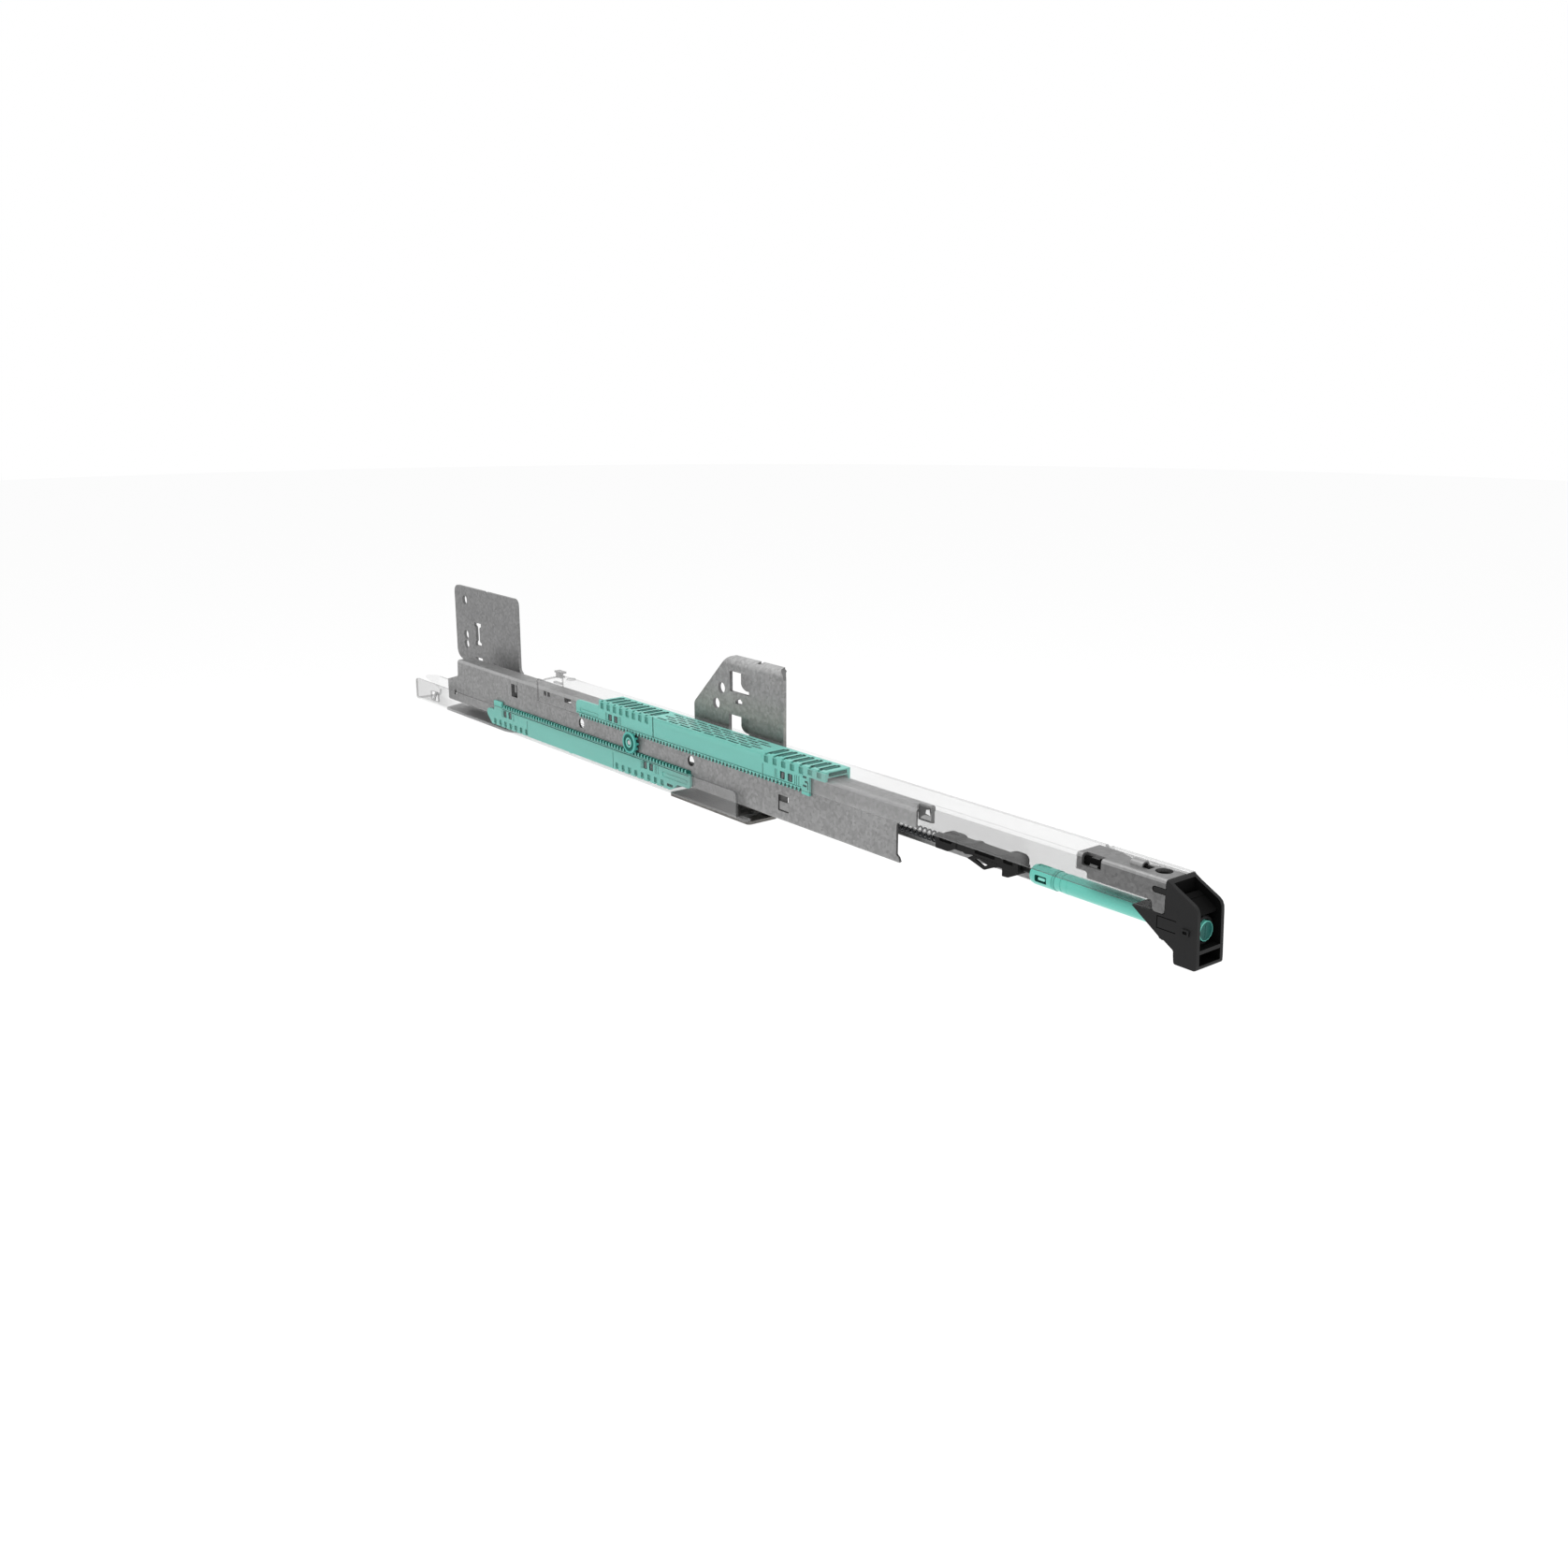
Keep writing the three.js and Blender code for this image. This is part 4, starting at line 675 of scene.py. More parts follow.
CY0, CY1, BY0, BY1 = -24.85, -23.5, -9.9, -8.5
UPX = [245.6 + i * 6.62 for i in range(8)] + [402.4 + i * 6.9 for i in range(7)]
LOX = [113.4 + i * 6.9 for i in range(6)] + [259.4 + i * 6.9 for i in range(7)]


def upper_cage():
    zt, zu = 41.75, 38.5
    rp, rz, tip = rack_edge(213.6, 430.5, -1)
    front = ([(213.4, rz)] + rp + [(430.6, rz), (430.6, tip - 0.7), (436.6, tip - 0.9), (436.6, 36.4), (449.2, 36.4), (449.6, 36.9), (449.6, 41.3), (449.1, zt), (239.4, zt)]
             + [(239.4, 38.6), (238.8, 37.9), (219.5, 37.7)] + arc(217.0, 34.1, 3.6, 90, 180, 8))
    flank = [2 if min(front[i][1], front[(i + 1) % len(front)][1]) < rz - 0.05 and 213 < front[i][0] < 431 and front[i][1] != front[(i + 1) % len(front)][1] else 0 for i in range(len(front))]
    o = prism("y", front, CY0, CY1, mats=flank, cap=0)
    # dark strip behind the teeth is painted shade in the tooth gaps; tool faces with material 2 are painted recess
    # shade, 3 a lighter painted pocket shade
    tools = [("+", box(214.5, 429.6, CY1 - 0.02, CY1 + 0.2, tip, rz + 0.3, 2)), ("+", box(241.0, 449.6, CY0 + 0.2, BY1 - 0.2, zu, zt)), ("+", box(241.0, 449.6, BY0, BY1, 31.0, zt))]
    for x in UPX:  # roller pockets through the top
        tools.append(("-", box(x - 2.5, x + 2.5, -21.95, -11.65, zu - 1, zt + 1, 2)))
    for x in (251.4, 257.5, 414.9, 421.2):  # side roller windows
        tools.append(("-", rbox("y", x - 1.9, x + 1.9, 30.8, 34.9, 0.3, -26, -22, 2)))
    # square pockets along the top front edge
    for i in range(8):
        x = 243.0 + i * 6.7
        tools.append(("-", rbox("y", x - 1.75, x + 1.75, 36.6, 40.5, 0.4, CY0 - 1, CY0 + 0.85, 3)))
        tools.append(("-", box(x - 1.0, x + 1.0, CY0 - 1, CY0 + 1.6, 40.9, zt + 1, 3)))
    for i in range(7):
        x = 401.2 + i * 7.2
        tools.append(("-", rbox("y", x - 1.8, x + 1.8, 36.9 if x < 436 else 37.6, 40.5, 0.4, CY0 - 1, CY0 + 0.85, 3)))
        tools.append(("-", box(x - 1.0, x + 1.0, CY0 - 1, CY0 + 1.6, 40.9, zt + 1, 3)))
    # shallow cross grooves that tie the pockets to the roller slots
    for x in UPX:
        tools.append(("-", box(x - 2.0, x + 1.2, -23.4, -21.0, zt - 0.7, zt + 1, 2)))
        tools.append(("-", box(x - 1.2, x + 1.2, -12.6, -10.4, zt - 0.7, zt + 1, 2)))
    # rows of thin dashes in the middle of the top
    rows = [-23.3, -20.3, -17.3, -14.3, -11.4]
    for k, y in enumerate(rows):
        x = 299.0 + (k % 2) * 5.6
        while x + 9.2 < 396.5:
            tools.append(("-", box(x, x + 9.2, y - 0.68, y + 0.68, zt - 1.1, zt + 1, 2)))
            x += 11.2
    # raised edge strip that runs along the front of the middle section, and a step before it
    tools.append(("+", rbox("y", 297.2, 397.6, 38.3, 40.6, 0.6, CY0 - 0.28, CY0 + 0.3)))
    tools.append(("-", box(296.0, 296.9, CY0 - 1, CY0 + 0.5, 29.2, zt + 1, 2)))
    tools.append(("-", box(398.0, 398.5, CY0 - 1, CY0 + 0.4, 29.2, 36.0, 2)))
    # recessed bar of the rear tongue
    tools.append(("-", rbox("y", 217.5, 238.2, 30.2, 33.0, 1.3, CY0 - 1, CY0 + 0.4, 0)))
    tools.append(("+", rbox("y", 219.5, 237.6, 30.9, 32.3, 0.6, CY0 + 0.15, CY0 + 0.6)))
    # thin upright grooves beside the windows
    for x in (246.9, 248.2, 261.3, 262.6, 408.6, 410.0, 425.2, 426.6, 428.4):
        tools.append(("-", box(x - 0.22, x + 0.22, CY0 - 1, CY0 + 0.45, 30.4, 35.4, 2)))
    # folded spring lug ahead of the windows
    for a, b, c, d in ((431.6, 434.6, 35.3, 36.4), (433.2, 435.6, 32.9, 34.0), (431.6, 434.6, 30.6, 31.7)):
        tools.append(("-", rbox("y", a, b, c, d, 0.4, CY0 - 1, CY0 + 0.9, 2)))
    tools.append(("-", box(435.2, 435.9, CY0 - 1, CY0 + 0.7, 29.4, 33.2, 2)))
    # recess in the front end of the nose
    tools.append(("-", box(448.9, 451, -22.9, -10.6, 39.1, 41.1, 2)))
    # groove over the teeth
    tools.append(("-", box(214.5, 430.0, CY0 - 1, CY0 + 0.22, rz + 0.5, rz + 0.85, 2)))
    o = combine(o, *tools)
    piece(o, "upper_cage", "upper_cage", "teal_plastic", [TEAL, TEAL_HIGHLIGHT_EDGE, TEAL_RECESS_SHADE, TEAL_POCKET_SHADE], bevel=0.16, bevel_mat=1)


def lower_cage():
    zb, zo = 2.0, 6.2
    rp, rz, tip = rack_edge(120.2, 331.6, 1)
    front = ([(109.9, 18.0), (109.9, 12.4), (109.4, 11.9), (104.0, 11.9)] + arc(103.2, 8.9, 3.0, 90, 240, 10) + [(106.4, zb), (312.0, zb), (316.0, 3.6), (318.6, 6.0), (320.2, 6.5)]
             + arc(332.2 - 2.6, 9.2, 2.6, 270, 360, 8) + [(332.2, rz)] + rp[::-1] + [(119.8, rz), (119.8, 18.0), (119.4, 18.4), (110.3, 18.4)])
    flank = [2 if max(front[i][1], front[(i + 1) % len(front)][1]) > rz + 0.05 and 120 < front[i][0] < 332 and front[i][1] != front[(i + 1) % len(front)][1] else 0 for i in range(len(front))]
    o = prism("y", front, CY0, CY1, mats=flank, cap=0)
    # dark strip behind the teeth is painted shade in the tooth gaps; tool faces with material 2 are painted recess
    # shade, 3 a lighter painted pocket shade
    tools = [("+", box(121.0, 331.0, CY1 - 0.02, CY1 + 0.2, rz - 0.3, tip, 2)), ("+", box(107.0, 311.5, CY0 + 0.2, BY1 - 0.4, zb, zo)), ("+", box(107.0, 311.5, BY0, BY1 - 0.3, zb, 9.7))]
    for x in LOX:
        tools.append(("-", box(x - 2.85, x + 2.85, -21.95, -11.65, zb - 1, zo + 1, 2)))
    for x in (124.1, 130.6, 287.4, 293.6):
        tools.append(("-", rbox("y", x - 1.9, x + 1.9, 9.2, 13.5, 0.3, -26, -22, 2)))
    for i in range(7):
        x = 110.8 + i * 6.75
        tools.append(("-", rbox("y", x - 1.6, x + 1.6, 2.9, 6.3, 0.4, CY0 - 1, CY0 + 0.85, 3)))
        tools.append(("-", box(x - 0.9, x + 0.9, CY0 - 1, CY0 + 1.2, zb - 1, 2.6, 2)))
    for i in range(8):
        x = 257.4 + i * 6.75
        tools.append(("-", rbox("y", x - 1.6, x + 1.6, 2.9, 6.3, 0.4, CY0 - 1, CY0 + 0.85, 3)))
        tools.append(("-", box(x - 0.9, x + 0.9, CY0 - 1, CY0 + 1.2, zb - 1, 2.6, 2)))
    # ledge under the teeth
    tools.append(("-", box(121.0, 331.0, CY0 - 1, CY0 + 0.35, 13.75, 14.25, 2)))
    tools.append(("+", rbox("y", 136.0, 282.0, 12.6, 13.6, 0.3, CY0 - 0.18, CY0 + 0.3)))
    # grooves by the windows, step lines and the panel near the nose
    for x in (119.6, 121.0, 134.2, 135.4, 283.2, 284.4, 297.6, 299.0, 300.8):
        tools.append(("-", box(x - 0.2, x + 0.2, CY0 - 1, CY0 + 0.45, 8.6, 13.2, 2)))
    tools.append(("-", box(152.4, 152.9, CY0 - 1, CY0 + 0.4, 2.5, 12.2, 2)))
    tools.append(("-", box(253.0, 253.5, CY0 - 1, CY0 + 0.4, 2.5, 12.2, 2)))
    tools.append(("-", rbox("y", 305.0, 330.2, 8.4, 11.6, 1.2, CY0 - 1, CY0 + 0.4, 0)))
    tools.append(("+", rbox("y", 307.0, 328.6, 9.2, 10.8, 0.6, CY0 + 0.15, CY0 + 0.6)))
    # catch bumps on the lower edge
    tools.append(("+", prism("y", [(202.5, 2.2), (203.6, 1.6), (206.4, 1.6), (207.5, 2.2), (207.5, 2.8), (202.5, 2.8)], CY0, CY1)))
    tools.append(("-", rbox("y", 309.4, 315.2, 3.7, 5.4, 0.7, CY0 - 1, CY0 + 0.9, 2)))
    for k, y in enumerate((-20.0, -16.8, -13.6)):
        x = 158.0 + (k % 2) * 5.6
        while x + 9.2 < 250:
            tools.append(("-", box(x, x + 9.2, y - 0.42, y + 0.42, zb - 1, zb + 0.9, 2)))
            tools.append(("-", box(x, x + 9.2, y - 0.42, y + 0.42, zo - 0.9, zo + 1, 2)))
            x += 11.2
    o = combine(o, *tools)
    piece(o, "lower_cage", "lower_cage", "teal_plastic", [TEAL, TEAL_HIGHLIGHT_EDGE, TEAL_RECESS_SHADE, TEAL_POCKET_SHADE], bevel=0.16, bevel_mat=1)


def rollers():
    def roll(x, z, r):
        y0, y1 = -21.6, -12.0
        return turn("y", x, z, [(y0, 0), (y0, r * 0.45), (y0 + 0.25, r * 0.5), (y0 + 0.25, r * 0.72), (y0, r * 0.78), (y0, r - 0.35), (y0 + 0.12, r - 0.12), (y0 + 0.4, r), (y1 - 0.4, r),
                                (y1 - 0.12, r - 0.12), (y1, r - 0.35), (y1, r * 0.78), (y1 - 0.25, r * 0.72), (y1 - 0.25, r * 0.5), (y1, r * 0.45), (y1, 0)], 32)
    for i, x in enumerate(UPX):
        piece(roll(x, 39.65, 2.2), "upper_roller_%02d" % (i + 1), "upper_cage", "teal_roller", [ROLLER], bevel=0)
    for i, x in enumerate(LOX):
        piece(roll(x, 4.3, 2.55), "lower_roller_%02d" % (i + 1), "lower_cage", "teal_roller", [ROLLER], bevel=0)
    def pin(x, y, z0, z1):
        return turn("z", x, y, [(z0, 0), (z0, 0.6), (z0 + 0.1, 0.76), (z0 + 0.25, 0.85), (z1 - 0.25, 0.85), (z1 - 0.1, 0.76), (z1, 0.6), (z1, 0)], 28)
    for i, x in enumerate((251.4, 257.5, 414.9, 421.2)):
        piece(pin(x, -24.3, 31.1, 34.6), "upper_side_roller_%d" % (i + 1), "upper_cage", "bright_steel", [PIN_STEEL], bevel=0)
    for i, x in enumerate((124.1, 130.6, 287.4, 293.6)):
        piece(pin(x, -24.15, 9.6, 13.1), "lower_side_roller_%d" % (i + 1), "lower_cage", "bright_steel", [PIN_STEEL], bevel=0)


# ------------------------------------------------------------------ drawer rail
def drawer_rail():
    y0, y1, t, R, r, top = -26.6, -7.0, 1.2, 1.6, 0.5, 43.3
    # the back top bend and the upper part of the front bend take the painted-shade line, the rest of the front bend
    # the painted highlight
    pts, mats = tagged([
        ([(y0, 28.9)], 2, 2),
        ([(y0 + t, 28.9)], 1, 1),
        (arc(y0 + t + r, top - t - r, r, 180, 90, 4), 1, 1),
        (arc(y1 - t - r, top - t - r, r, 90, 0, 4), 1, 1),
        ([(y1 - t, 15.0)], 2, 2),
        ([(y1, 15.0)], 4, 4),
        (arc(y1 - R, top - R, R, 0, 90), 8, 3),
        (arc(y0 + R, top - R, R, 90, 118, 3), 8, 8),
        (arc(y0 + R, top - R, R, 118, 180, 6)[1:], 5, 0),
    ])
    k = next(i for i, p in enumerate(pts) if abs(p[0] - (y0 + R + R * math.cos(math.radians(118)))) < 1e-6)
    mats[k] = 5
    X = 663.5
    o = prism("x", pts, 170, X, mats=mats, cap=2)
    o = combine(
        o,
        ("-", prism("z", [(160, y0 + t + 0.4), (175.2, y0 + t + 0.4), (173.6, y0 + 3.0), (172.4, y0 + 6.5), (171.6, -15.5), (171.6, -13.0), (172.3, -10.5), (174.5, -8.6), (174.5, y1 - t - 0.3), (160, y1 - t - 0.3)], top - t - 0.8, top + 3, 2)),
        ("-", prism("y", [(160, 40), (169, 40), (171.5, 50), (160, 50)], y0 - 1, y0 + t + 0.2, 2)),
        ("-", rbox("y", 518.2, 527.5, 34.3, 41.4, 0.6, y0 - 1, y0 + t + 0.6, 2)),
        ("-", box(616.2, X + 1, y0 - 1, -11.7, top - t - 1.2, top + 1, 2)),
        ("-", box(616.2, X + 1, y0 - 1, y0 + t + 0.6, 35.7, top + 1, 2)),
        ("-", box(622.4, X + 1, y0 - 1, y0 + t + 0.6, 32.7, top + 1, 2)),
        ("-", box(656.6, X + 1, y0 - 1, y0 + t + 0.6, 20, top + 1, 2)),
        ("-", box(646.0, X + 1, y1 - t - 0.6, y1 + 1, 10, 34.0, 2)),
        ("-", box(617.7, 620.8, y1 - 2.6, y1 + 1, top - 3, top + 1, 2)),
        ("-", rbox("z", 183.0, 192.0, -22.6, -20.2, 1.0, top - t - 1, top + 1, 2)),
        # dark plate filling the window as painted shade, with a lighter band and a painted glint on it
        ("+", box(518.0, 527.6, y0 + t - 0.2, y0 + 2.4, 34.0, 41.6, 6)),
        
        ("+", prism("y", [(519.6, 34.8), (526.9, 34.8), (526.9, 37.2), (522.8, 37.2), (520.6, 36.2)], y0 + 0.9, y0 + 2.0, mi=7)),
        ("+", prism("y", [(523.2, 38.0), (526.4, 37.4), (525.6, 40.4), (523.6, 39.8)], y0 + 0.7, y0 + 2.0, mi=9)),
        ("+", box(174.0, 180.6, -14.8, -13.4, top - 0.6, top + 3.9, 7)),
        ("+", box(172.4, 180.6, -14.8, -11.0, top + 2.9, top + 4.1, 7)),
        ("+", box(172.4, 174.6, -12.2, -11.0, top + 2.0, top + 4.1, 7)),
        ("+", turn("z", 187.0, -11.6, [(top - 0.4, 0), (top - 0.4, 3.0), (top + 0.3, 3.0), (top + 0.7, 2.7), (top + 0.8, 2.3), (top + 0.8, 0)], 40, 7)),
        ("+", prism("x", [(y1 - t - 1.0, 22.0), (y1 - t + 0.3, 22.0), (y1 - t + 0.3, 26.0), (y1 - t - 1.0, 26.0)], 460, 466, 2)),
    )
    piece(o, "drawer_rail", "drawer", "see_through_steel", GHOST_D, bevel=0.22, segs=1, bevel_mat=2)


def front_connector():
    y0, t, top, R = -26.6, 1.5, 43.3, 1.6
    # front bend and edges take the painted highlight, the top face its painted-light tone, the inside faces painted
    # shade
    sec, mats = tagged([
        ([(y0, 28.6)], 0, 1),
        ([(y0 + t, 28.6)], 2, 2),
        (arc(y0 + t + 0.5, top - t - 0.5, 0.5, 180, 90, 4), 2, 2),
        ([(-12.1, top - t)], 0, 1),
        ([(-12.1, top)], 3, 3),
        (arc(y0 + R, top - R, R, 90, 180, 8), 1, 0),
    ])
    o = prism("x", sec, 616.6, 663.6, mats=mats, cap=1)
    o = combine(
        o,
        ("-", prism("y", [(610, 20), (610, 36.0), (621.6, 36.0), (622.2, 35.6), (622.5, 34.8), (622.6, 33.6), (623.0, 33.1), (656.4, 33.0), (657.1, 32.3), (657.4, 31.2), (657.4, 29.9)]
                    + arc(658.9, 30.1, 1.5, 180, 270, 6) + arc(662.1, 30.1, 1.5, 270, 360, 6) + [(670, 30), (670, 20)], y0 - 1, y0 + t + 1, 2)),
        ("-", rbox("y", 619.3, 629.8, 38.2, 47, 0.5, y0 - 1, -23.0, 2)),
        ("-", prism("y", [(664, 36.7), (664, 39.5), (658.2, 39.5)] + arc(658.2, 38.1, 1.4, 90, 270, 8), y0 - 1, y0 + t + 1, 2)),
        ("-", disc("z", 655.8, -18.0, 3.7, top - 5, top + 2, 56, 2)),
        ("-", prism("z", [(629.5, -11), (629.9, -12.2), (631.1, -13.2), (636.6, -15.0), (639.2, -15.5), (641.9, -15.4), (664, -13.6), (664, -11)], top - 3, top + 2, 2)),
        ("-", rbox("z", 640.5, 650.5, -21.2, -16.9, 0.4, top - 3, top + 2, 2)),
        ("+", prism("x", [(-21.4, top - 0.6), (-20.6, top - 0.6), (-20.5, top + 0.3), (-20.1, top + 0.9), (-19.5, top + 1.25), (-18.9, top + 1.35), (-18.3, top + 1.25), (-17.7, top + 0.9), (-17.3, top + 0.3),
                           (-17.2, top - 0.6), (-16.4, top - 0.6), (-16.5, top + 0.6), (-16.9, top + 1.4), (-17.7, top + 2.0), (-18.9, top + 2.15), (-20.1, top + 2.0), (-20.9, top + 1.4), (-21.3, top + 0.6)], 640.6, 647.0, 1)),
        # small latch seen inside the corner window
        ("+", prism("x", [(-25.4, 38.0), (-24.2, 38.0), (-22.8, 39.6), (-22.8, 41.9), (-23.8, 41.9), (-24.0, 40.2)], 622.4, 626.6, 0)),
    )
    piece(o, "front_connector", "drawer", "galvanised_steel", [CONN, CONN_HIGHLIGHT_EDGE, SHADE_STEEL, CONN_LIT_TOP], bevel=0.22, bevel_mat=1)


# ------------------------------------------------------------------ end cap
DY, DZ = -16.8, 23.2


def end_cap():
    y0, y1 = -26.6, -9.3
    outline = [(646.9, 28.2), (655.0, 22.9), (661.5, 18.6), (662.0, 17.9), (663.4, 17.5), (664.2, 17.6), (669.0, 14.8), (669.2, 13.6), (669.7, 9.9), (669.9, 9.3), (670.6, 9.0), (679.9, 9.0), (680.7, 9.3), (681.0, 10.0), (681.0, 12.0),
               (680.1, 31.6), (679.9, 33.4), (679.1, 35.1), (677.8, 36.2), (668.0, 41.2), (665.2, 42.9), (664.6, 43.25), (663.9, 43.3), (663.9, 28.3), (656.9, 28.3)]
    o = prism("y", outline, y0, y1)
    o = combine(
        o,
        ("-", box(670.2, 690, y0 + 1.9, y1 - 1.9, 17.4, 50, 2)),
        ("-", prism("y", [(666.2, 36.0), (671.0, 34.0), (671.0, 50), (666.2, 50)], y0 + 1.9, y1 - 1.9, 2)),
        ("-", box(672.0, 690, y0 + 1.9, y1 - 1.9, 10.9, 15.8, 2)),
    )
    o = combine(
        o,
        ("+", turn("x", DY, DZ, [(666.0, 0), (666.0, 6.3), (675.6, 6.3), (676.1, 6.15), (676.4, 5.8), (676.4, 0)], 64, 0)),
        ("+", prism("y", [(668.5, 35.0), (671.0, 34.2), (677.4, 30.5), (677.8, 30.9), (677.8, 31.9), (668.5, 37.2)], y0 + 1.0, y1 - 1.0, 2)),
        ("+", box(670.0, 671.2, y0 + 1.0, y1 - 1.0, 17.0, 36.0, 2)),
        ("-", disc("x", DY, DZ, 4.85, 640, 690, 64, 2)),
        ("+", prism("y", [(664.6, 37.0), (664.6, 39.2), (658.4, 39.2)] + arc(658.4, 38.1, 1.1, 90, 270, 8), y0 + 0.1, y0 + 1.6)),
        ("+", rbox("y", 672.9, 676.6, 22.7, 25.4, 0.5, y0 - 0.7, y0 + 1.0)),
        ("-", rbox("y", 673.7, 675.8, 23.4, 24.7, 0.3, y0 - 1.5, y0 - 0.35, 2)),
        # spigot inside the connector, in the dark painted-shade black
        ("+", box(618.6, 664.5, -24.7, -12.6, 38.0, 41.6, 2)),
        ("+", box(646.6, 664.5, -24.7, -12.6, 33.6, 41.6, 2)),
        # outlined panel of the side
        ("-", box(660.1, 669.9, y0 - 1, y0 + 0.3, 27.05, 27.45, 2)),
        ("-", box(660.1, 669.9, y0 - 1, y0 + 0.3, 21.95, 22.35, 2)),
        ("-", box(660.1, 660.5, y0 - 1, y0 + 0.3, 21.95, 27.45, 2)),
        # raised lip round the front rim
        ("-", box(668.9, 669.3, y0 - 1, y0 + 0.22, 9.6, 14.4, 2)),
    )
    # inside and cut faces take the painted-shade black, bevels the painted-highlight black
    piece(o, "end_cap", "drawer", "black_plastic", [BLACK, BLACK_HIGHLIGHT_EDGE, BLACK_SHADE_INSIDE], bevel=0.35, bevel_mat=1, segs=3)


def damper():
    R = 4.5
    # cylinder: neck, shoulder, barrel with a flat parting ridge, and chamfered end
    o = turn("x", DY, DZ, [(600.0, 0), (600.0, 3.9), (600.3, 4.1), (603.3, 4.1), (603.5, 4.3), (603.9, R), (606.4, R), (606.7, R - 0.22), (607.2, R - 0.22), (607.5, R), (674.8, R), (675.4, R - 0.2), (675.8, R - 0.6), (675.8, 0)], 72)
    o = combine(
        o,
        ("-", disc("x", DY, DZ, 1.5, 590, 634, 32, 2)),
        # flat land along the lower front, with a notch behind it
        ("-", prism("x", [(DY - 6, DZ - 3.95), (DY + 6, DZ - 3.95), (DY + 6, DZ - 8), (DY - 6, DZ - 8)], 608.0, 612.5, 0)),
        ("+", rbox("x", DY - R + 0.02, DY - R + 0.6, DZ - 0.35, DZ + 0.35, 0.1, 608.5, 668.0, 0)),
    )
    piece(o, "damper_cylinder", "drawer", "teal_damper", [DAMPER, DAMPER_HIGHLIGHT, TEAL_RECESS_SHADE], bevel=0.08, bevel_mat=-1, segs=1)

    # the collar's groove and step take the pocket colour as painted shade, the block in its window the brighter teal
    # as painted highlight
    c = turn("x", DY, DZ, [(585.0, 0), (585.0, 4.0), (585.3, 4.3), (586.2, 4.3), (586.5, 4.55), (587.0, 4.7), (597.6, 4.7), (597.9, 4.5), (598.5, 4.5), (598.8, 4.7), (599.3, 4.7), (599.6, 4.35), (602.5, 4.35), (602.8, 4.2), (602.8, 0)], 72, mats=[0, 0, 0, 0, 0, 0, 0, 3, 0, 0, 3, 0, 0, 0, 0])
    c = combine(
        c,
        ("-", disc("x", DY, DZ, 1.5, 570, 610, 32, 2)),
        ("-", disc("x", DY, DZ, 4.15, 599.8, 604, 56, 2)),
        ("-", rbox("y", 588.6, 595.4, 21.3, 24.5, 0.5, -24, -18.5, 2)),
        ("+", rbox("y", 590.2, 594.2, 22.3, 23.6, 0.4, -20.9, -18.0, 1)),
        ("-", rbox("x", DY - 1.3, DY + 1.3, DZ + 3.9, DZ + 6, 0.2, 587.0, 594.0, 0)),
    )
    piece(c, "damper_collar", "drawer", "teal_damper", [DAMPER, DAMPER_HIGHLIGHT, TEAL_RECESS_SHADE, TEAL_POCKET_SHADE], bevel=0.1, bevel_mat=-1, segs=2)

    # the recessed end face takes the dark teal as painted shade
    p = turn("x", DY, DZ, [(676.1, 0), (676.1, 4.4), (677.3, 4.4), (677.6, 4.15), (677.6, 3.98), (677.3, 3.85), (677.3, 0)], 64, mats=[0, 0, 0, 0, 2, 2, 2])
    p = combine(p, ("+", rbox("x", DY - 0.55, DY + 0.55, DZ - 2.6, DZ + 2.6, 0.3, 676.6, 677.5, 2)))
    piece(p, "damper_end_plug", "drawer", "teal_damper", [DAMPER, DAMPER_HIGHLIGHT, DAMPER_RECESS_SHADE], bevel=0.06, bevel_mat=-1, segs=1)


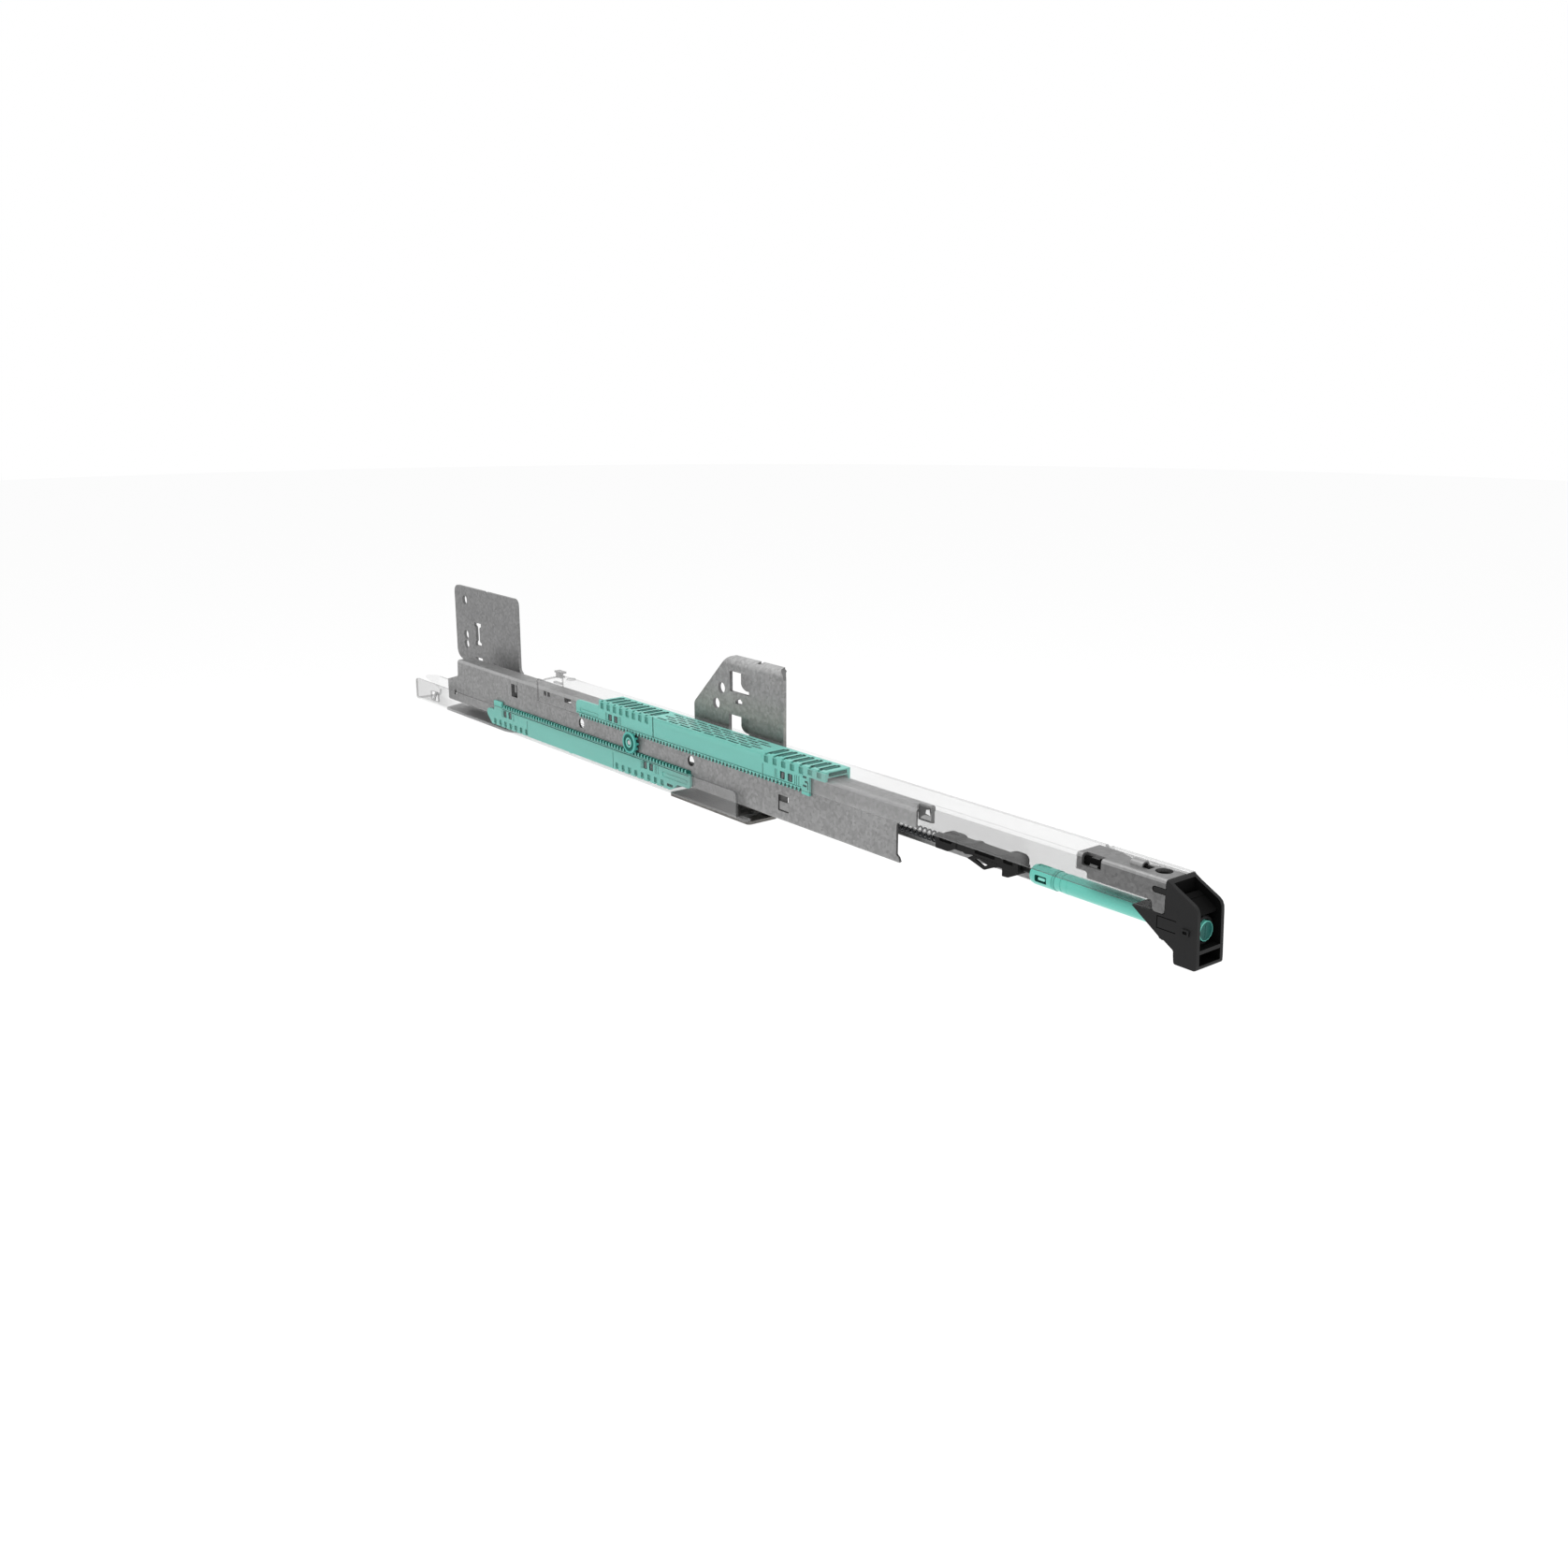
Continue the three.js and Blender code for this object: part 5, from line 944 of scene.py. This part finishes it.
# ------------------------------------------------------------------ closing unit
def closing_unit():
    o = join(
        box(444.0, 602.0, -9.9, -8.5, 16.0, 21.0),
        box(486.0, 602.0, -12.3, -9.6, 18.6, 19.8),
    )
    o = combine(
        o,
        ("-", rbox("y", 459.0, 467.0, 17.3, 19.9, 1.0, -10.5, -8.0, 2)),
        ("-", box(592.0, 603, -13, -9.7, 17, 32, 2)),
    )
    piece(o, "catch_carrier", "drawer", "galvanised_steel", PLATE, bevel=0.2, bevel_mat=1)

    s = combine(
        join(rbox("y", 445.0, 450.0, 19.6, 28.0, 0.6, -20.6, -10.2), disc("x", -16.4, 24.0, 1.6, 449.0, 456.0, 32)),
        ("-", box(446.5, 448.5, -21, -18.5, 19, 29, 2)),
    )
    piece(s, "spring_seat", "drawer", "black_plastic", [BLACK, BLACK_HIGHLIGHT_EDGE, BLACK_SHADE_INSIDE], bevel=0.2, bevel_mat=1)

    top = [(524.9, 20.9), (525.3, 20.7), (533.0, 20.7), (535.0, 21.6), (537.6, 22.9), (543.1, 23.0), (544.4, 22.4), (548.4, 23.1), (564.9, 23.1), (564.9, 21.5), (577.6, 21.5), (577.7, 26.8),
           (576.9, 28.1), (575.4, 28.9), (570.1, 28.9), (568.0, 28.2), (566.2, 27.3), (549.7, 27.5), (548.5, 28.2), (546.1, 27.9), (544.5, 27.4), (538.6, 27.4), (537.9, 28.1), (537.0, 28.5), (528.7, 28.5), (527.3, 27.9), (526.3, 27.0), (524.9, 26.4)]
    k = prism("y", top, -20.6, -13.0)
    k = combine(
        k,
        ("+", box(526.0, 576.0, -13.4, -10.4, 21.6, 23.2)),
        ("+", prism("y", [(567.0, 17.6), (567.4, 17.4), (570.7, 17.6), (577.4, 20.8), (577.6, 22.0), (567.0, 22.0)], -19.4, -15.0)),
        ("+", disc("x", -16.4, 24.0, 1.6, 520.0, 526.0, 32)),
        ("-", disc("x", DY, 24.4, 1.6, 572.0, 590, 32, 2)),
        ("-", box(565.6, 580.0, -15.1, -13.4, 15.0, 30.0, 0)),
        # lightening pockets and parting steps of the front side
        ("-", rbox("y", 527.4, 535.6, 24.6, 27.2, 0.6, -21.5, -20.1, 2)),
        ("-", rbox("y", 550.6, 563.4, 24.3, 26.3, 0.6, -21.5, -20.2, 2)),
        ("-", rbox("y", 568.6, 574.6, 24.3, 27.2, 0.6, -21.5, -20.1, 2)),
        ("-", rbox("z", 528.0, 536.0, -18.6, -15.0, 0.5, 27.9, 30, 2)),
        ("-", box(538.4, 539.0, -21.5, -20.2, 20, 30, 2)),
    )
    piece(k, "catch_slider", "catch", "black_slide_plastic", [BLACK_SLIDE, BLACK_HIGHLIGHT_EDGE, BLACK_SHADE_INSIDE], bevel=0.28, bevel_mat=1)

    r = turn("x", DY, DZ, [(578.0, 0), (578.0, 1.0), (578.2, 1.2), (629.6, 1.2), (630.0, 0.9), (630.0, 0)], 32)
    e = turn("x", DY, DZ + 1.0, [(573.0, 0), (573.0, 1.0), (573.3, 1.25), (578.7, 1.25), (579.0, 1.0), (579.0, 0)], 32)
    r = join(r, e)
    piece(r, "damper_rod", "catch", "black_slide_plastic", [BLACK_SLIDE, BLACK_HIGHLIGHT_EDGE], bevel=0)

    c = prism("y", [(545.7, 20.9), (546.1, 20.5), (548.6, 19.9), (556.0, 17.8), (556.8, 17.8), (562.6, 20.4), (564.0, 20.6), (564.3, 21.0), (564.3, 22.4), (564.0, 22.7), (549.0, 22.7)], -20.2, -13.6)
    c = cut(c, prism("y", [(550.2, 21.3), (556.0, 19.3), (558.6, 20.6), (552.6, 22.1)], -22, -10, 2), box(540.0, 562.4, -18.9, -12.0, 16.0, 22.2, 2))
    piece(c, "catch_claw", "claw", "black_slide_plastic", [BLACK_SLIDE, BLACK_HIGHLIGHT_EDGE, BLACK_SHADE_INSIDE], bevel=0.22, bevel_mat=1)


def spring():
    """Compression spring with closed end turns, drawn as its real wire."""
    x0, x1, cy, cz, rm, rw = 450.75, 524.25, -16.4, 24.0, 2.42, 0.46
    closed, free_turns = 1.4, 22.0
    total = 2 * closed + free_turns
    per = 22
    n = int(total * per)
    dead = closed * 2 * rw * 1.02
    path = []
    for i in range(n + 1):
        t = total * i / n
        if t < closed:
            x = x0 + dead * t / closed
        elif t > total - closed:
            x = x1 - dead * (total - t) / closed
        else:
            x = x0 + dead + (x1 - x0 - 2 * dead) * (t - closed) / free_turns
        a = 2 * math.pi * t
        path.append(Vector((x, cy + rm * math.cos(a), cz + rm * math.sin(a))))
    bm = bmesh.new()
    seg = 10
    rings = []
    for i, p in enumerate(path):
        q = path[min(i + 1, n)] - path[max(i - 1, 0)]
        q.normalize()
        out = (p - Vector((p.x, cy, cz))).normalized()
        side = q.cross(out).normalized()
        out = side.cross(q).normalized()
        rings.append([bm.verts.new(p + rw * (math.cos(2 * math.pi * k / seg) * out + math.sin(2 * math.pi * k / seg) * side)) for k in range(seg)])
    for i in range(n):
        for k in range(seg):
            j = (k + 1) % seg
            bm.faces.new((rings[i][k], rings[i][j], rings[i + 1][j], rings[i + 1][k]))
    bm.faces.new(rings[0][::-1])
    bm.faces.new(rings[-1])
    o = as_object(bm)
    o.name = "closing_spring_fine"
    o.data.name = o.name
    finish_mesh(o, [WIRE], bevel=0)
    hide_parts("closing_spring")
    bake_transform(o)


cabinet_rail()
rear_bracket()
cabinet_bracket()
activator()
middle_rail()
pinion()
upper_cage()
lower_cage()
rollers()
drawer_rail()
front_connector()
end_cap()
damper()
closing_unit()
spring()

# ------------------------------------------------------------------ stage, light, camera
bm = bmesh.new()
bmesh.ops.create_circle(bm, cap_ends=True, segments=96, radius=9.0)
fl = as_object(bm, "floor")
fl.location = (0.25, 0.0, -0.62)
m, nt, b = nodes_of("pale_floor")
b.inputs["Base Color"].default_value = (0.97, 0.97, 0.97, 1)
b.inputs["Roughness"].default_value = 1.0
b.inputs["Specular IOR Level"].default_value = 0.0
fl.data.materials.clear()
fl.data.materials.append(m)

w = bpy.data.worlds.new("studio")
SCENE.world = w
w.use_nodes = True
bg = w.node_tree.nodes["Background"]
bg.inputs["Color"].default_value = (1.0, 1.0, 1.0, 1.0)
bg.inputs["Strength"].default_value = 1.0


def area(name, loc, target, size, energy):
    d = bpy.data.lights.new(name, "AREA")
    d.shape = "SQUARE"
    d.size = size
    d.energy = energy
    o = bpy.data.objects.new(name, d)
    o.location = loc
    o.rotation_mode = "QUATERNION"
    o.rotation_quaternion = (Vector(target) - Vector(loc)).to_track_quat("-Z", "Y")
    SCENE.collection.objects.link(o)


area("key", (0.25, -0.35, 1.5), (0.25, 0, 0), 1.0, 13.0)
area("side", (1.9, -0.3, 0.7), (0.3, 0, 0), 0.8, 3.0)

cam = bpy.data.cameras.new("camera")
cam.lens = 37.27
cam.sensor_width = 36.0
cam.clip_start = 0.01
co = bpy.data.objects.new("camera", cam)
co.location = (0.9700, -0.5346, 0.2017)
co.rotation_euler = (math.radians(74.1), 0.0, math.radians(51.1))
SCENE.collection.objects.link(co)
SCENE.camera = co
SCENE.view_settings.view_transform = "Standard"

bpy.context.view_layer.update()
